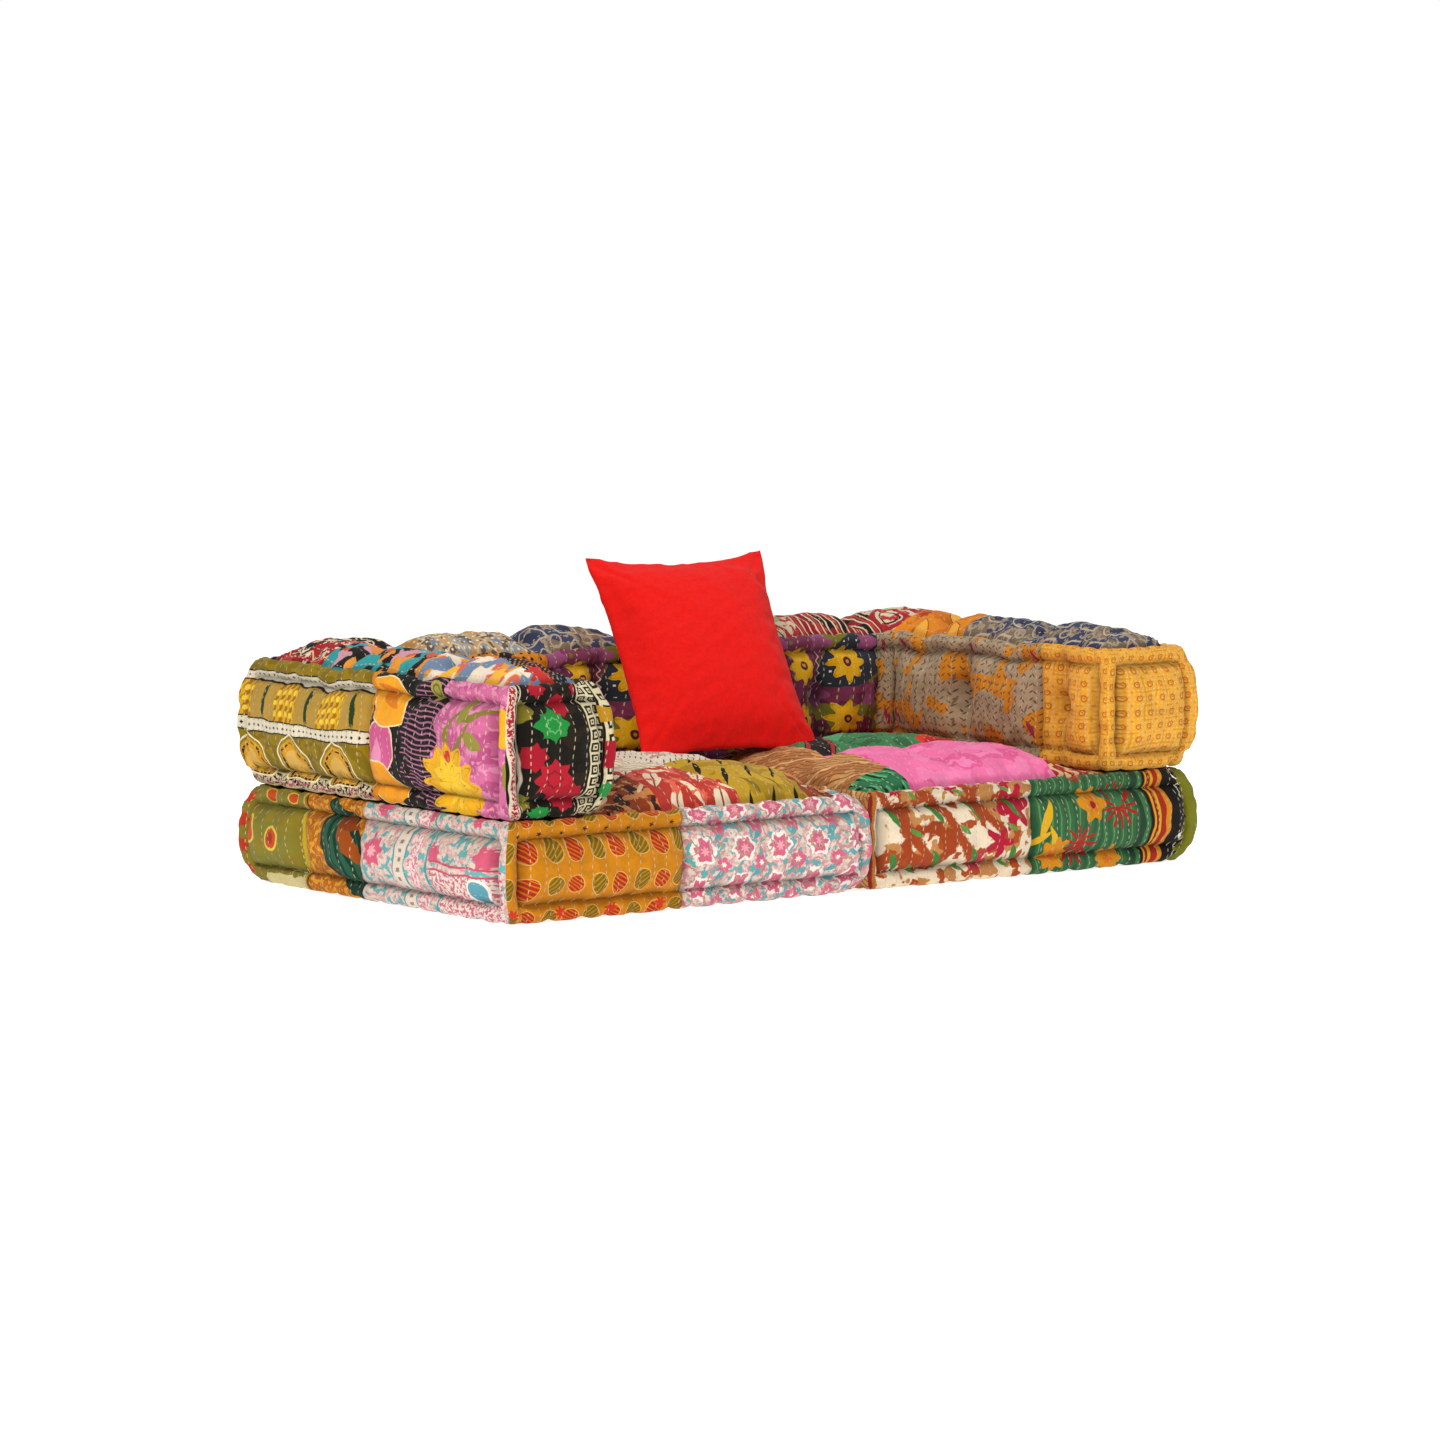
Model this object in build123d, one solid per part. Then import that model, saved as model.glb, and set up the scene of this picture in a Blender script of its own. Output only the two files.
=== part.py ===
from build123d import *
from math import cos, hypot, radians, sin, sqrt
import os

# Modular pouf sofa: two square seat cushions side by side, an L-shaped arm and back
# bolster on each of them, and a loose scatter cushion.
# Millimetres. The sofa stands on z = 0 and faces -Y, the seats meet on x = 0, and the
# right half is modelled and mirrored to make the left half.

# Driving sizes of the cushions
module_width = 700
module_depth = 736
seat_height = 158
bolster_height = 203
bolster_thickness = 189
pillow_size = 350
pillow_thickness = 112

# Running gaps between cushions that come apart
module_gap = 0.6
stack_gap = 0.3
pillow_gap = 0.3

# Sewn rolls along the edges and the grooves stitched beside them
roll_radius = 15
groove_depth = 6
press_depth = 1
corner_fullness = 0.5
corner_bevel = 5
post_sides = 12

# Swell of the stuffed panels between the grooves
side_swell = 18
plan_spare = 3
shoulder_run = 62
seam_level = 6
press_run = 16
meeting_relief = 1.5

# Seat crown: three puffs each way with sewn channels between them
crown_puff_rise = 31
crown_channel_x = 17
crown_channel_y = 14
crown_inset = 3
crown_root = 8
crown_clear = 4
crown_edge_rise = 5

# Bolster crown: waves along its length, sewn channels across it
bolster_crown_rise = 30
bolster_channel_level = 16
bolster_wave_rise = 21
pinch_depth = 14

# Cover wall under the grooves, filling clearance and seam lines
cover_thickness = 4
filling_gap = 0.3
seam_allowance = 1.5

# Tufts, each a funnel of pleats, and the ties that pull them in
pleat_count = 8
tuft_floor_radius = 8
tuft_mouth_radius = 40
tuft_reach = 44
crown_tuft_depth = 9
side_tuft_depth = 12
side_tuft_mouth = 44
cord_sides = 6
tie_radius = 2
tie_hole_radius = 2.4
knot_radius = 6
knot_height = 1.2
knot_pocket_radius = 9
knot_pocket_depth = 1.8

# Scatter cushion
pillow_rim = 3
pillow_cover = 2
pillow_draw = 13
pillow_cross_swell = 2
pillow_lean = 33
pillow_turn = -9
pillow_offset_x = 12
pillow_approach = 60
seat_tolerance = 0.05

# One overrun for every cut
overrun = 40

# Places as shares of the side that they divide
third_shares = (1 / 3, 2 / 3)
side_seam_share = 1 / 2
shoulder_share = 2 / 5
arm_pinch_shares = (1 / 6, 1 / 2)
back_pinch_shares = (1 / 6, 1 / 2)

roll_width = roll_radius + sqrt(roll_radius**2 - (roll_radius - groove_depth) ** 2)
half_depth = module_depth / 2
half_gap = module_gap / 2
bolster_floor = seat_height + stack_gap
bolster_top = bolster_floor + bolster_height
arm_inner = module_width - bolster_thickness
back_inner = half_depth - bolster_thickness
front = -half_depth
crown_end_x = arm_inner - side_swell - crown_clear
crown_end_y = back_inner - side_swell - crown_clear
crown_top = seat_height + crown_channel_y + crown_puff_rise
core_wall = groove_depth + cover_thickness
tufted_wall = pinch_depth + side_tuft_depth + cover_thickness
form_top = bolster_top + bolster_crown_rise + overrun
reach = module_width + module_depth


# Sketch helpers


def in_xy(u, v):
    return (u, v, 0)


def in_xz(u, v):
    return (u, 0, v)


def in_yz(u, v):
    return (0, u, v)


def face_from(entries, place):
    """Closed face; an entry is a point and the rise of the arc to the next point."""
    edges = []
    for index, (u, v, rise) in enumerate(entries):
        next_u, next_v, _ = entries[(index + 1) % len(entries)]
        if rise == 0:
            edges.append(Line(place(u, v), place(next_u, next_v)))
            continue
        run_u = next_u - u
        run_v = next_v - v
        length = hypot(run_u, run_v)
        middle_u = (u + next_u) / 2 + run_v / length * rise
        middle_v = (v + next_v) / 2 - run_u / length * rise
        edges.append(ThreePointArc(place(u, v), place(middle_u, middle_v), place(next_u, next_v)))
    return Face(Wire(edges))


def closed_outline(corners, sides, place):
    """Walk the corners anticlockwise; each side lists (along, outward, rise) stations.

    A corner lies a groove's depth inside the cushion's nominal box, under its roll.
    """
    count = len(corners)
    runs = []
    for index, (u, v) in enumerate(corners):
        next_u, next_v = corners[(index + 1) % count]
        length = hypot(next_u - u, next_v - v)
        runs.append(((next_u - u) / length, (next_v - v) / length))
    entries = []
    for index, stations in enumerate(sides):
        u, v = corners[index]
        next_u, next_v = corners[(index + 1) % count]
        along_u, along_v = runs[index]
        after_u, after_v = runs[(index + 1) % count]
        for along, outward, rise in stations:
            point_u = u + along_u * along + along_v * outward
            point_v = v + along_v * along - along_u * outward
            entries.append((point_u, point_v, rise))
        corner_u = next_u - (along_v + after_v) * groove_depth
        corner_v = next_v + (along_u + after_u) * groove_depth
        entries.append((corner_u, corner_v, 0))
    return face_from(entries, place)


def easing_rise(run, step):
    """Rise of an arc that climbs one step over one run and ends level."""
    radius = (run**2 + step**2) / (2 * step)
    chord = hypot(run, step)
    return radius - sqrt(radius**2 - chord**2 / 4)


# Sides of a cushion's outline, from groove to groove


def swollen_side(length, swell):
    return [(roll_width, -groove_depth, swell), (length - roll_width, -groove_depth, 0)]


def pressed_side(length, level):
    ease = easing_rise(press_run, groove_depth + level)
    return [
        (roll_width, -groove_depth, ease),
        (roll_width + press_run, level, 0),
        (length - roll_width - press_run, level, ease),
        (length - roll_width, -groove_depth, 0),
    ]


def puffed_side(start, end, seams, level):
    """Flat-topped puffs with round shoulders between seams drawn in to one level."""
    crest = side_swell + plan_spare - groove_depth
    stops = [(start, -groove_depth)]
    stops += [(seam, level) for seam in seams]
    stops += [(end, -groove_depth)]
    stations = []
    for (a, level_a), (b, level_b) in zip(stops, stops[1:]):
        run = min(shoulder_run, (b - a) * shoulder_share)
        stations.append((a, level_a, easing_rise(run, crest - level_a)))
        stations.append((a + run, crest, 0))
        stations.append((b - run, crest, easing_rise(run, crest - level_b)))
    stations.append((end, -groove_depth, 0))
    return stations


def waved_side(length, seams, level, rise):
    """Round waves along a top side, with a sewn channel at each seam."""
    stations = [(roll_width, -groove_depth, rise)]
    stations += [(seam, level, rise) for seam in seams]
    stations += [(length - roll_width, -groove_depth, 0)]
    return stations


def box_corners(low_u, high_u, low_v, high_v):
    return [(low_u, low_v), (high_u, low_v), (high_u, high_v), (low_u, high_v)]


def along_x(face):
    return extrude(face, amount=reach, dir=(1, 0, 0), both=True)


def along_y(face):
    return extrude(face, amount=reach, dir=(0, 1, 0), both=True)


def upward(face):
    return extrude(face, amount=form_top, dir=(0, 0, 1))


def block(low, high):
    """Box between two corners."""
    size = [b - a for a, b in zip(low, high)]
    middle = [(a + b) / 2 for a, b in zip(low, high)]
    return Pos(*middle) * Box(*size)


# Edge rolls


def rod(start, end, radius):
    """Round bar between two points."""
    run = Vector(*end) - Vector(*start)
    bar = Cylinder(radius, run.length)
    return Plane(origin=start, z_dir=run) * Pos(0, 0, run.length / 2) * bar


def corner_post(x, y, low, high):
    """Standing roll at a corner, of narrow pleats, drawn in at both ends."""
    end_radius = roll_radius - corner_bevel
    stations = [
        (low, end_radius),
        (low + corner_bevel, roll_radius),
        (high - corner_bevel, roll_radius),
        (high, end_radius),
    ]
    return loft([Pos(x, y, z) * RegularPolygon(radius, post_sides) for z, radius in stations], ruled=True)


def edge_rolls(corners, low, high, inner_corner=None):
    """Sewn rolls along the top, the bottom and the standing edges of a cushion.

    The corners are the fullest, and of two rolls that meet one is a little fuller.
    """
    rolls = []
    for level in (low + roll_radius, high - roll_radius):
        for index, (x, y) in enumerate(corners):
            next_x, next_y = corners[(index + 1) % len(corners)]
            radius = roll_radius - corner_fullness * (1 + index % 2)
            rolls.append(rod((x, y, level), (next_x, next_y, level), radius))
    for index, (x, y) in enumerate(corners):
        if index == inner_corner:
            rolls.append(corner_post(x, y, low, low + 2 * roll_radius))
            rolls.append(corner_post(x, y, high - 2 * roll_radius, high))
        else:
            rolls.append(corner_post(x, y, low, high))
    return rolls


# Tufts


def bar(start, end, radius, sides=cord_sides):
    """Straight bar of flat sides between two points."""
    run = Vector(*end) - Vector(*start)
    section = Plane(origin=start, z_dir=run) * RegularPolygon(radius, sides)
    return extrude(section, amount=run.length)


def tuft_funnel(point, direction, mouth):
    """Pleated funnel that a tie pulls into a panel; its floor lies at the point."""
    seat = Plane(origin=point, z_dir=direction)
    floor = seat * RegularPolygon(tuft_floor_radius, pleat_count)
    rim = seat.offset(tuft_reach) * RegularPolygon(mouth, pleat_count)
    return loft([floor, rim], ruled=True)


def tie(start, end):
    """One tufting cord with a flat knot at each end."""
    run = (Vector(*end) - Vector(*start)).normalized()
    knots = [
        bar(tuple(Vector(*start) - run * knot_height), start, knot_radius),
        bar(end, tuple(Vector(*end) + run * knot_height), knot_radius),
    ]
    return bar(start, end, tie_radius) + knots


# Seat cushion


def seat_crown():
    """Domed sitting area, three puffs each way, between the roll and the bolster."""
    low_x = half_gap + roll_width + crown_inset
    low_y = front + roll_width + crown_inset
    root = seat_height - crown_root
    foot = seat_height - groove_depth
    across = [module_width * share for share in third_shares]
    deep = [front + module_depth * share for share in third_shares]
    faces = []
    for low, high, seams, level, place in (
        (low_x, crown_end_x, across, crown_channel_x, in_xz),
        (low_y, crown_end_y, deep, crown_channel_y, in_yz),
    ):
        seams = [seam for seam in seams if seam < high - crown_inset]
        entries = [(low, root, 0), (high, root, 0), (high, foot, crown_edge_rise)]
        entries += [(seam, seat_height + level, crown_puff_rise) for seam in reversed(seams)]
        entries += [(low, foot, 0)]
        faces.append(face_from(entries, place))
    return along_y(faces[0]) & along_x(faces[1])


def seat_tufts():
    """Places of the seat's tufts: where its sewn channels cross."""
    floor = seat_height + crown_channel_y - crown_tuft_depth
    xs = [module_width * share for share in third_shares]
    ys = [front + module_depth * share for share in third_shares]
    return [(x, y, floor) for x in xs for y in ys if x < crown_end_x and y < crown_end_y]


def seat_form():
    """Stuffed form of the right seat without its rolls."""
    width = module_width - half_gap
    height = seat_height + press_depth
    view_front = closed_outline(
        box_corners(half_gap, module_width, -press_depth, seat_height),
        [
            pressed_side(width, 0),
            swollen_side(height, side_swell),
            pressed_side(width, 0),
            pressed_side(height, -meeting_relief),
        ],
        in_xz,
    )
    view_side = closed_outline(
        box_corners(front, half_depth, -press_depth, seat_height),
        [pressed_side(module_depth, 0), swollen_side(height, side_swell)] * 2,
        in_yz,
    )
    wide_seams = [width * side_seam_share]
    deep_seams = [module_depth * side_seam_share]
    plan = closed_outline(
        box_corners(half_gap, module_width, front, half_depth),
        [
            puffed_side(roll_width, width - roll_width, wide_seams, seam_level),
            puffed_side(roll_width, module_depth - roll_width, deep_seams, seam_level),
            puffed_side(roll_width, width - roll_width, wide_seams, seam_level),
            pressed_side(module_depth, -meeting_relief),
        ],
        in_xy,
    )
    return (along_y(view_front) & along_x(view_side) & upward(plan)) + seat_crown()


def seat_core(gap):
    """Room for the seat's filling inside its cover, or with a gap the filling."""
    inset = core_wall + gap
    low = (half_gap + inset, front + inset, inset)
    return block(low, (module_width - inset, half_depth - inset, seat_height - inset))


def make_seat():
    """Cover panels, filling and ties of the right seat."""
    low_x = half_gap + roll_radius
    high_x = module_width - roll_radius
    corners = box_corners(low_x, high_x, front + roll_radius, half_depth - roll_radius)
    cover = seat_form() + edge_rolls(corners, -press_depth, seat_height)
    cover = cover - block((-overrun, -reach, -overrun), (reach, reach, 0)) - seat_core(0)
    filling = seat_core(filling_gap)
    ties = []
    for x, y, floor in seat_tufts():
        foot = (x, y, knot_pocket_depth)
        ties.append(tie(foot, (x, y, floor)))
        bore = bar((x, y, -overrun), (x, y, form_top), tie_hole_radius)
        pocket = bar((x, y, -overrun), foot, knot_pocket_radius)
        cover = cover - tuft_funnel((x, y, floor), (0, 0, 1), tuft_mouth_radius) - bore - pocket
        filling -= bore
    seam = roll_width + seam_allowance
    low = (half_gap + seam, front + seam)
    high = (module_width - seam, half_depth - seam)
    upper = block((*low, seat_height - core_wall), (*high, form_top))
    lower = block((*low, -overrun), (*high, core_wall))
    return {
        "top_panel": cover & upper,
        "side_band": cover - upper - lower,
        "bottom_panel": cover & lower,
        "filling": filling,
        "tuft_ties": ties,
    }


# Bolster


def bolster_length_view(low, high, meets, place):
    """Long side view with its waves; one end may meet the other module flat."""
    length = high - low
    span = module_width if meets else module_depth
    start = 0 if meets else low
    seams = [high - start - span * share for share in reversed(third_shares)]
    swollen = swollen_side(bolster_height, side_swell)
    return closed_outline(
        box_corners(low, high, bolster_floor, bolster_top),
        [
            pressed_side(length, 0),
            swollen,
            waved_side(length, seams, bolster_channel_level, bolster_wave_rise),
            pressed_side(bolster_height, -meeting_relief) if meets else swollen,
        ],
        place,
    )


def bolster_cross(low, high, place):
    """Cross-section of an arm or back, with its swollen sides and crown."""
    return closed_outline(
        box_corners(low, high, bolster_floor, bolster_top),
        [
            pressed_side(bolster_thickness, 0),
            swollen_side(bolster_height, side_swell),
            swollen_side(bolster_thickness, bolster_crown_rise),
            swollen_side(bolster_height, side_swell),
        ],
        place,
    )


def bolster_corners(inset):
    """Corners of the L in plan, drawn in by an inset; the last one is its inner corner."""
    return [
        (arm_inner + inset, front + inset),
        (module_width - inset, front + inset),
        (module_width - inset, half_depth - inset),
        (half_gap + inset, half_depth - inset),
        (half_gap + inset, back_inner + inset),
        (arm_inner + inset, back_inner + inset),
    ]


def bolster_plan():
    """L-shaped plan with its inner faces pinched at the tufts."""
    width = module_width - half_gap
    arm_length = back_inner - front
    back_length = arm_inner - half_gap
    side_seams = [module_depth * side_seam_share]
    rear_seams = [width * side_seam_share]
    arm_pinches = [arm_length - module_depth * share for share in reversed(arm_pinch_shares)]
    back_pinches = [module_width * share - half_gap for share in back_pinch_shares]
    return closed_outline(
        bolster_corners(0),
        [
            swollen_side(bolster_thickness, side_swell + plan_spare),
            puffed_side(roll_width, module_depth - roll_width, side_seams, seam_level),
            puffed_side(roll_width, width - roll_width, rear_seams, seam_level),
            pressed_side(bolster_thickness, -meeting_relief),
            puffed_side(roll_width, back_length, back_pinches, -pinch_depth),
            puffed_side(0, arm_length - roll_width, arm_pinches, -pinch_depth),
        ],
        in_xy,
    )


def bolster_form():
    """Stuffed L-shaped form of the right bolster without its rolls."""
    arm = along_y(bolster_cross(arm_inner, module_width, in_xz))
    arm &= along_x(bolster_length_view(front, half_depth, False, in_yz))
    back = along_x(bolster_cross(back_inner, half_depth, in_yz))
    back &= along_y(bolster_length_view(half_gap, module_width, True, in_xz))
    return (arm + back) & upward(bolster_plan())


def bolster_core(gap):
    """Room for the bolster's filling inside its cover, or with a gap the filling."""
    inset = core_wall + gap
    inner = tufted_wall + gap
    high = (module_width - inset, half_depth - inset, bolster_top - inset)
    arm = block((arm_inner + inner, front + inset, bolster_floor + inset), high)
    return arm + block((half_gap + inset, back_inner + inner, bolster_floor + inset), high)


def bolster_top_tufts():
    """Tufts on the middle line of the top, one on each sewn channel."""
    floor = bolster_top + bolster_channel_level - crown_tuft_depth
    arm_middle = module_width - bolster_thickness / 2
    back_middle = half_depth - bolster_thickness / 2
    spots = [(arm_middle, front + module_depth * share, floor) for share in third_shares]
    spots += [(module_width * share, back_middle, floor) for share in third_shares]
    return spots


def bolster_side_tufts():
    """For each tuft facing the seat: its floor, the tie's anchor inside, the way in."""
    middle = bolster_floor + bolster_height / 2
    inner = pinch_depth + side_tuft_depth
    anchor = bolster_thickness / 2
    tufts = []
    for share in arm_pinch_shares:
        y = front + module_depth * share
        tufts.append(((arm_inner + inner, y, middle), (arm_inner + anchor, y, middle), (1, 0, 0)))
    for share in back_pinch_shares:
        x = module_width * share
        tufts.append(((x, back_inner + inner, middle), (x, back_inner + anchor, middle), (0, 1, 0)))
    return tufts


def make_bolster():
    """Cover panels, filling and ties of the right bolster."""
    corners = bolster_corners(roll_radius)
    inner_corner = len(corners) - 1
    cover = bolster_form() + edge_rolls(corners, bolster_floor, bolster_top, inner_corner)
    cover -= bolster_core(0)
    filling = bolster_core(filling_gap)
    foot_level = bolster_floor + knot_pocket_depth
    ties = []
    for x, y, floor in bolster_top_tufts():
        foot = (x, y, foot_level)
        ties.append(tie(foot, (x, y, floor)))
        bore = bar((x, y, 0), (x, y, form_top), tie_hole_radius)
        pocket = bar((x, y, 0), foot, knot_pocket_radius)
        cover = cover - tuft_funnel((x, y, floor), (0, 0, 1), tuft_mouth_radius) - bore - pocket
        filling -= bore
    for floor, anchor, inward in bolster_side_tufts():
        outward = tuple(-part for part in inward)
        deep_end = tuple(Vector(*anchor) + Vector(*inward) * (knot_height + filling_gap))
        ties.append(tie(floor, anchor))
        bore = bar(floor, anchor, tie_hole_radius)
        cover = cover - tuft_funnel(floor, outward, side_tuft_mouth) - bore
        filling = filling - bore - bar(anchor, deep_end, knot_pocket_radius)
    seam = roll_width + seam_allowance
    high = bolster_top - core_wall
    low = bolster_floor + core_wall
    outer_end = (module_width - seam, half_depth - seam)
    upper = block((arm_inner + seam, front + seam, high), (*outer_end, form_top))
    upper += block((half_gap + seam, back_inner + seam, high), (*outer_end, form_top))
    lower = block((arm_inner + seam, front + seam, 0), (*outer_end, low))
    lower += block((half_gap + seam, back_inner + seam, 0), (*outer_end, low))
    # The arm and the back meet on a mitre from the inner to the outer corner of the L
    near_x = arm_inner - overrun
    far_x = arm_inner + reach
    mitre = [(near_x, -reach), (far_x, -reach), (far_x, back_inner + reach), (near_x, back_inner - overrun)]
    arm_zone = upward(face_from([(u, v, 0) for u, v in mitre], in_xy))
    panels = {"top": cover & upper, "band": cover - upper - lower, "base": cover & lower}
    pieces = {}
    for name, panel in panels.items():
        pieces["arm_" + name] = panel & arm_zone
        pieces["back_" + name] = panel - arm_zone
    pieces["filling"] = filling
    pieces["tuft_ties"] = ties
    return pieces


# Scatter cushion


def pillow_half(inset, side):
    """One side of the cushion: a lens with drawn-in edges on its middle plane."""
    half = pillow_size / 2 - inset
    rim = pillow_rim - inset
    swell = pillow_thickness / 2 - pillow_rim
    if rim < 0:
        half = half + rim * pillow_size / pillow_thickness
        rim = 0
    profiles = []
    for place, extra in ((in_xz, 0), (in_yz, pillow_cross_swell)):
        entries = [(-half, 0, 0), (half, 0, 0), (half, rim, swell + extra), (-half, rim, 0)]
        profiles.append(face_from(entries, place))
    square = box_corners(-half, half, -half, half)
    plan = face_from([(u, v, -pillow_draw) for u, v in square], in_xy)
    body = along_y(profiles[0]) & along_x(profiles[1]) & upward(plan)
    return body if side > 0 else mirror(body, Plane.XY)


def make_pillow():
    panels = {}
    for name, side in (("front_panel", 1), ("back_panel", -1)):
        panels[name] = pillow_half(0, side) - pillow_half(pillow_cover, side)
    panels["filling"] = pillow_half(pillow_cover + filling_gap, 1) + pillow_half(pillow_cover + filling_gap, -1)
    return panels


def place_pillow(pieces):
    """Stand the cushion on the seat crown and lean it on the back bolsters."""
    lean = radians(pillow_lean)
    turn = radians(pillow_turn)
    foot = crown_top + pillow_gap + pillow_rim * sin(lean)
    middle_z = foot + pillow_size / 2 * cos(lean)
    across = (cos(turn), sin(turn), 0)
    facing = (sin(turn) * cos(lean), -cos(turn) * cos(lean), sin(lean))
    whole = pieces["front_panel"] + pieces["back_panel"]
    # The back's swell and its posts, drawn out along X, clear every place of the seat
    rest = along_x(bolster_cross(back_inner, half_depth, in_yz))
    rest += block((-reach, back_inner, bolster_floor), (reach, half_depth, bolster_top - corner_bevel))
    y = back_inner - pillow_size / 2 - pillow_approach
    for _ in range(12):
        frame = Plane(origin=(pillow_offset_x, y, middle_z), x_dir=across, z_dir=facing)
        gap = (frame.location * whole).distance_to(rest)
        if gap < pillow_gap + seat_tolerance:
            break
        y += gap - pillow_gap
    print("pillow stands at y", round(y, 2), "gap to the back", round(gap, 3))
    return {name: frame.location * piece for name, piece in pieces.items()}


# Write every node


def solids_of(shape):
    if isinstance(shape, (list, tuple)):
        return [solid for item in shape for solid in item.solids()]
    return list(shape.solids())


def write(name, shape):
    solids = solids_of(shape)
    export_step(Compound(solids) if len(solids) > 1 else solids[0], "parts/" + name + ".step")


os.makedirs("parts", exist_ok=True)

nodes = {}
for family, pieces in (("seat", make_seat()), ("bolster", make_bolster())):
    for name, piece in pieces.items():
        right = solids_of(piece)
        nodes[family + "_right_" + name] = right
        nodes[family + "_left_" + name] = [mirror(solid, Plane.YZ) for solid in right]

for name, piece in place_pillow(make_pillow()).items():
    nodes["pillow_" + name] = solids_of(piece)

for name, shape in nodes.items():
    write(name, shape)
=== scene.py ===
"""Modular floor sofa of quilted patchwork: two seats, two corner bolsters and a red scatter cushion."""
import math

import bpy
import numpy as np
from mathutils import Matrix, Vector


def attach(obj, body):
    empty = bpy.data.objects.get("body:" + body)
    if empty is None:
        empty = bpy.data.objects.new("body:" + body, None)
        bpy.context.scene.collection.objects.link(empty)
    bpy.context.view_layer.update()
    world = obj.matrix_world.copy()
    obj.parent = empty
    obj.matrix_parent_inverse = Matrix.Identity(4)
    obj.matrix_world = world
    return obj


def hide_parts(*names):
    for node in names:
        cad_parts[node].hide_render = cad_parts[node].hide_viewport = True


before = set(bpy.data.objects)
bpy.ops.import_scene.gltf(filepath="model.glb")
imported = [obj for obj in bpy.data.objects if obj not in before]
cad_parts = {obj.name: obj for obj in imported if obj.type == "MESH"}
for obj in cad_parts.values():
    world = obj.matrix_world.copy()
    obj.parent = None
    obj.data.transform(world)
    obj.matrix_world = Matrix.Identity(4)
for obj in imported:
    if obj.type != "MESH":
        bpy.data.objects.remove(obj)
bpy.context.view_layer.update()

# Sizes in millimetres, as the CAD has them
MILLIMETRE = 0.001
SIDE_X = 700.0
JOIN_X = 0.3
SIDE_Y = 368.0
SEAT_TOP = 158.0
BOLSTER_FLOOR = 158.3
BOLSTER_TOP = 361.3
ARM_INNER = 511.0
BACK_INNER = 179.0

# Places of the cross channels and tufts, given for the right half; the left half mirrors them
CHANNELS_X = (233.3, 466.7)
CHANNELS_Y = (-122.7, 122.7)
ARM_MIDDLE = 605.5
BACK_MIDDLE = 273.5
ARM_PINCHES = (-245, 0)
BACK_PINCHES = (117, 350)

# A sewn roll edge: a stuffed tube 29 mm thick that stands on its seam
ROLL_RADIUS = 14.5
ROLL_CLOTH = ROLL_RADIUS * math.radians(122)
ROLL_LEAN = math.pi / 4
ROLL_REACH = 500.0
SHIFT_FADE, DEPTH_FADE = 20.0, 5.0

# Farther than any rim, and the rounding allowed where a point is matched with a line
FAR = 900.0
SLIP = 0.01

# Swell of a side: how far from a roll or a plain join it is full, and its roundness up and along
FULL_PAST_ROLL, FULL_PAST_JOIN = 38, 70
ROUND_UP, ROUND_ALONG = 0.52, 0.6
# Patch seam: width and share of the dip between two puffs; width, depth and fade of the groove in it
DIP_WIDTH, DIP_SHARE = 25, 0.92
GROOVE_WIDTH, GROOVE_DEPTH, GROOVE_FADE = 6, 5.5, 0.4
# Pinch: the valley from roll to roll, how far it draws the rolls in, and the funnel of its tuft
VALLEY_WIDTH, VALLEY_DEPTH = 31, 25
DRAWN_WIDTH, DRAWN_DEPTH, DRAWN_FADE = 26, 9, 30
FUNNEL_WIDTH, FUNNEL_DEPTH = 23, 23
# Upright corners: how far the bow reaches, draws their ends in and pushes their middles out
BOW_REACH, BOW_IN, BOW_OUT, BOW_END = 50, 9, 13, 1.5

# The seat's dome: its middle and half width each way, height, squareness and roundness
DOME_X, DOME_HALF_X, DOME_Y, DOME_HALF_Y = 259.5, 229.5, -90.5, 247.5
DOME_HEIGHT, SQUARE_X, SQUARE_Y, DOME_ROUND = 47, 3.2, 3.6, 0.8
SEAT_CHANNEL_WIDTH, SEAT_CHANNEL_SHARE = 24, 0.33
SEAT_TUFT_WIDTH, SEAT_TUFT_DEPTH, SEAT_TUFT_LEAST = 20, 11, 6

# The bolster's crown: its height, how far from the roll's seam it is reached, its channels and tufts
CROWN_HEIGHT, CROWN_REACH = 25, 66
CHANNEL_WIDTH, ARM_CHANNEL_SHARE, BACK_CHANNEL_SHARE = 25, 0.36, 0.38
TUFT_WIDTH, TUFT_DEPTH = 18, 9
# Where the arm's channels end and the back's begin
ARM_ENDS, BACK_BEGINS, CORNER_BEGINS = 250, 150, 560
# The top roll's wave: how far it dips at each channel and rides up between them
DIP_ARM, DIP_BACK, WAVE_WIDTH, RIDE_UP = 6, 7, 34, 3
WAVE_CORNER, WAVE_BLEND = 480, 60

# How much larger than its place the cloth is cut, and how far the stuffing may move it
SLACK, MOST = 0.06, 6.5
# Share of the stuffing's push that the thread keeps back at patch seams and rims
PART_HELD = 0.55

# The directions of each face of a cushion: across it, up it and out of it, as seen from outside
FACINGS = {
    "front": ((1, 0, 0), (0, 0, 1), (0, -1, 0)),
    "back": ((-1, 0, 0), (0, 0, 1), (0, 1, 0)),
    "left": ((0, -1, 0), (0, 0, 1), (-1, 0, 0)),
    "right": ((0, 1, 0), (0, 0, 1), (1, 0, 0)),
    "top": ((1, 0, 0), (0, 1, 0), (0, 0, 1)),
    "under": ((1, 0, 0), (0, -1, 0), (0, 0, -1)),
}
FACINGS = {name: tuple(np.array(axis, float) for axis in axes) for name, axes in FACINGS.items()}


# The stuffed forms

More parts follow.
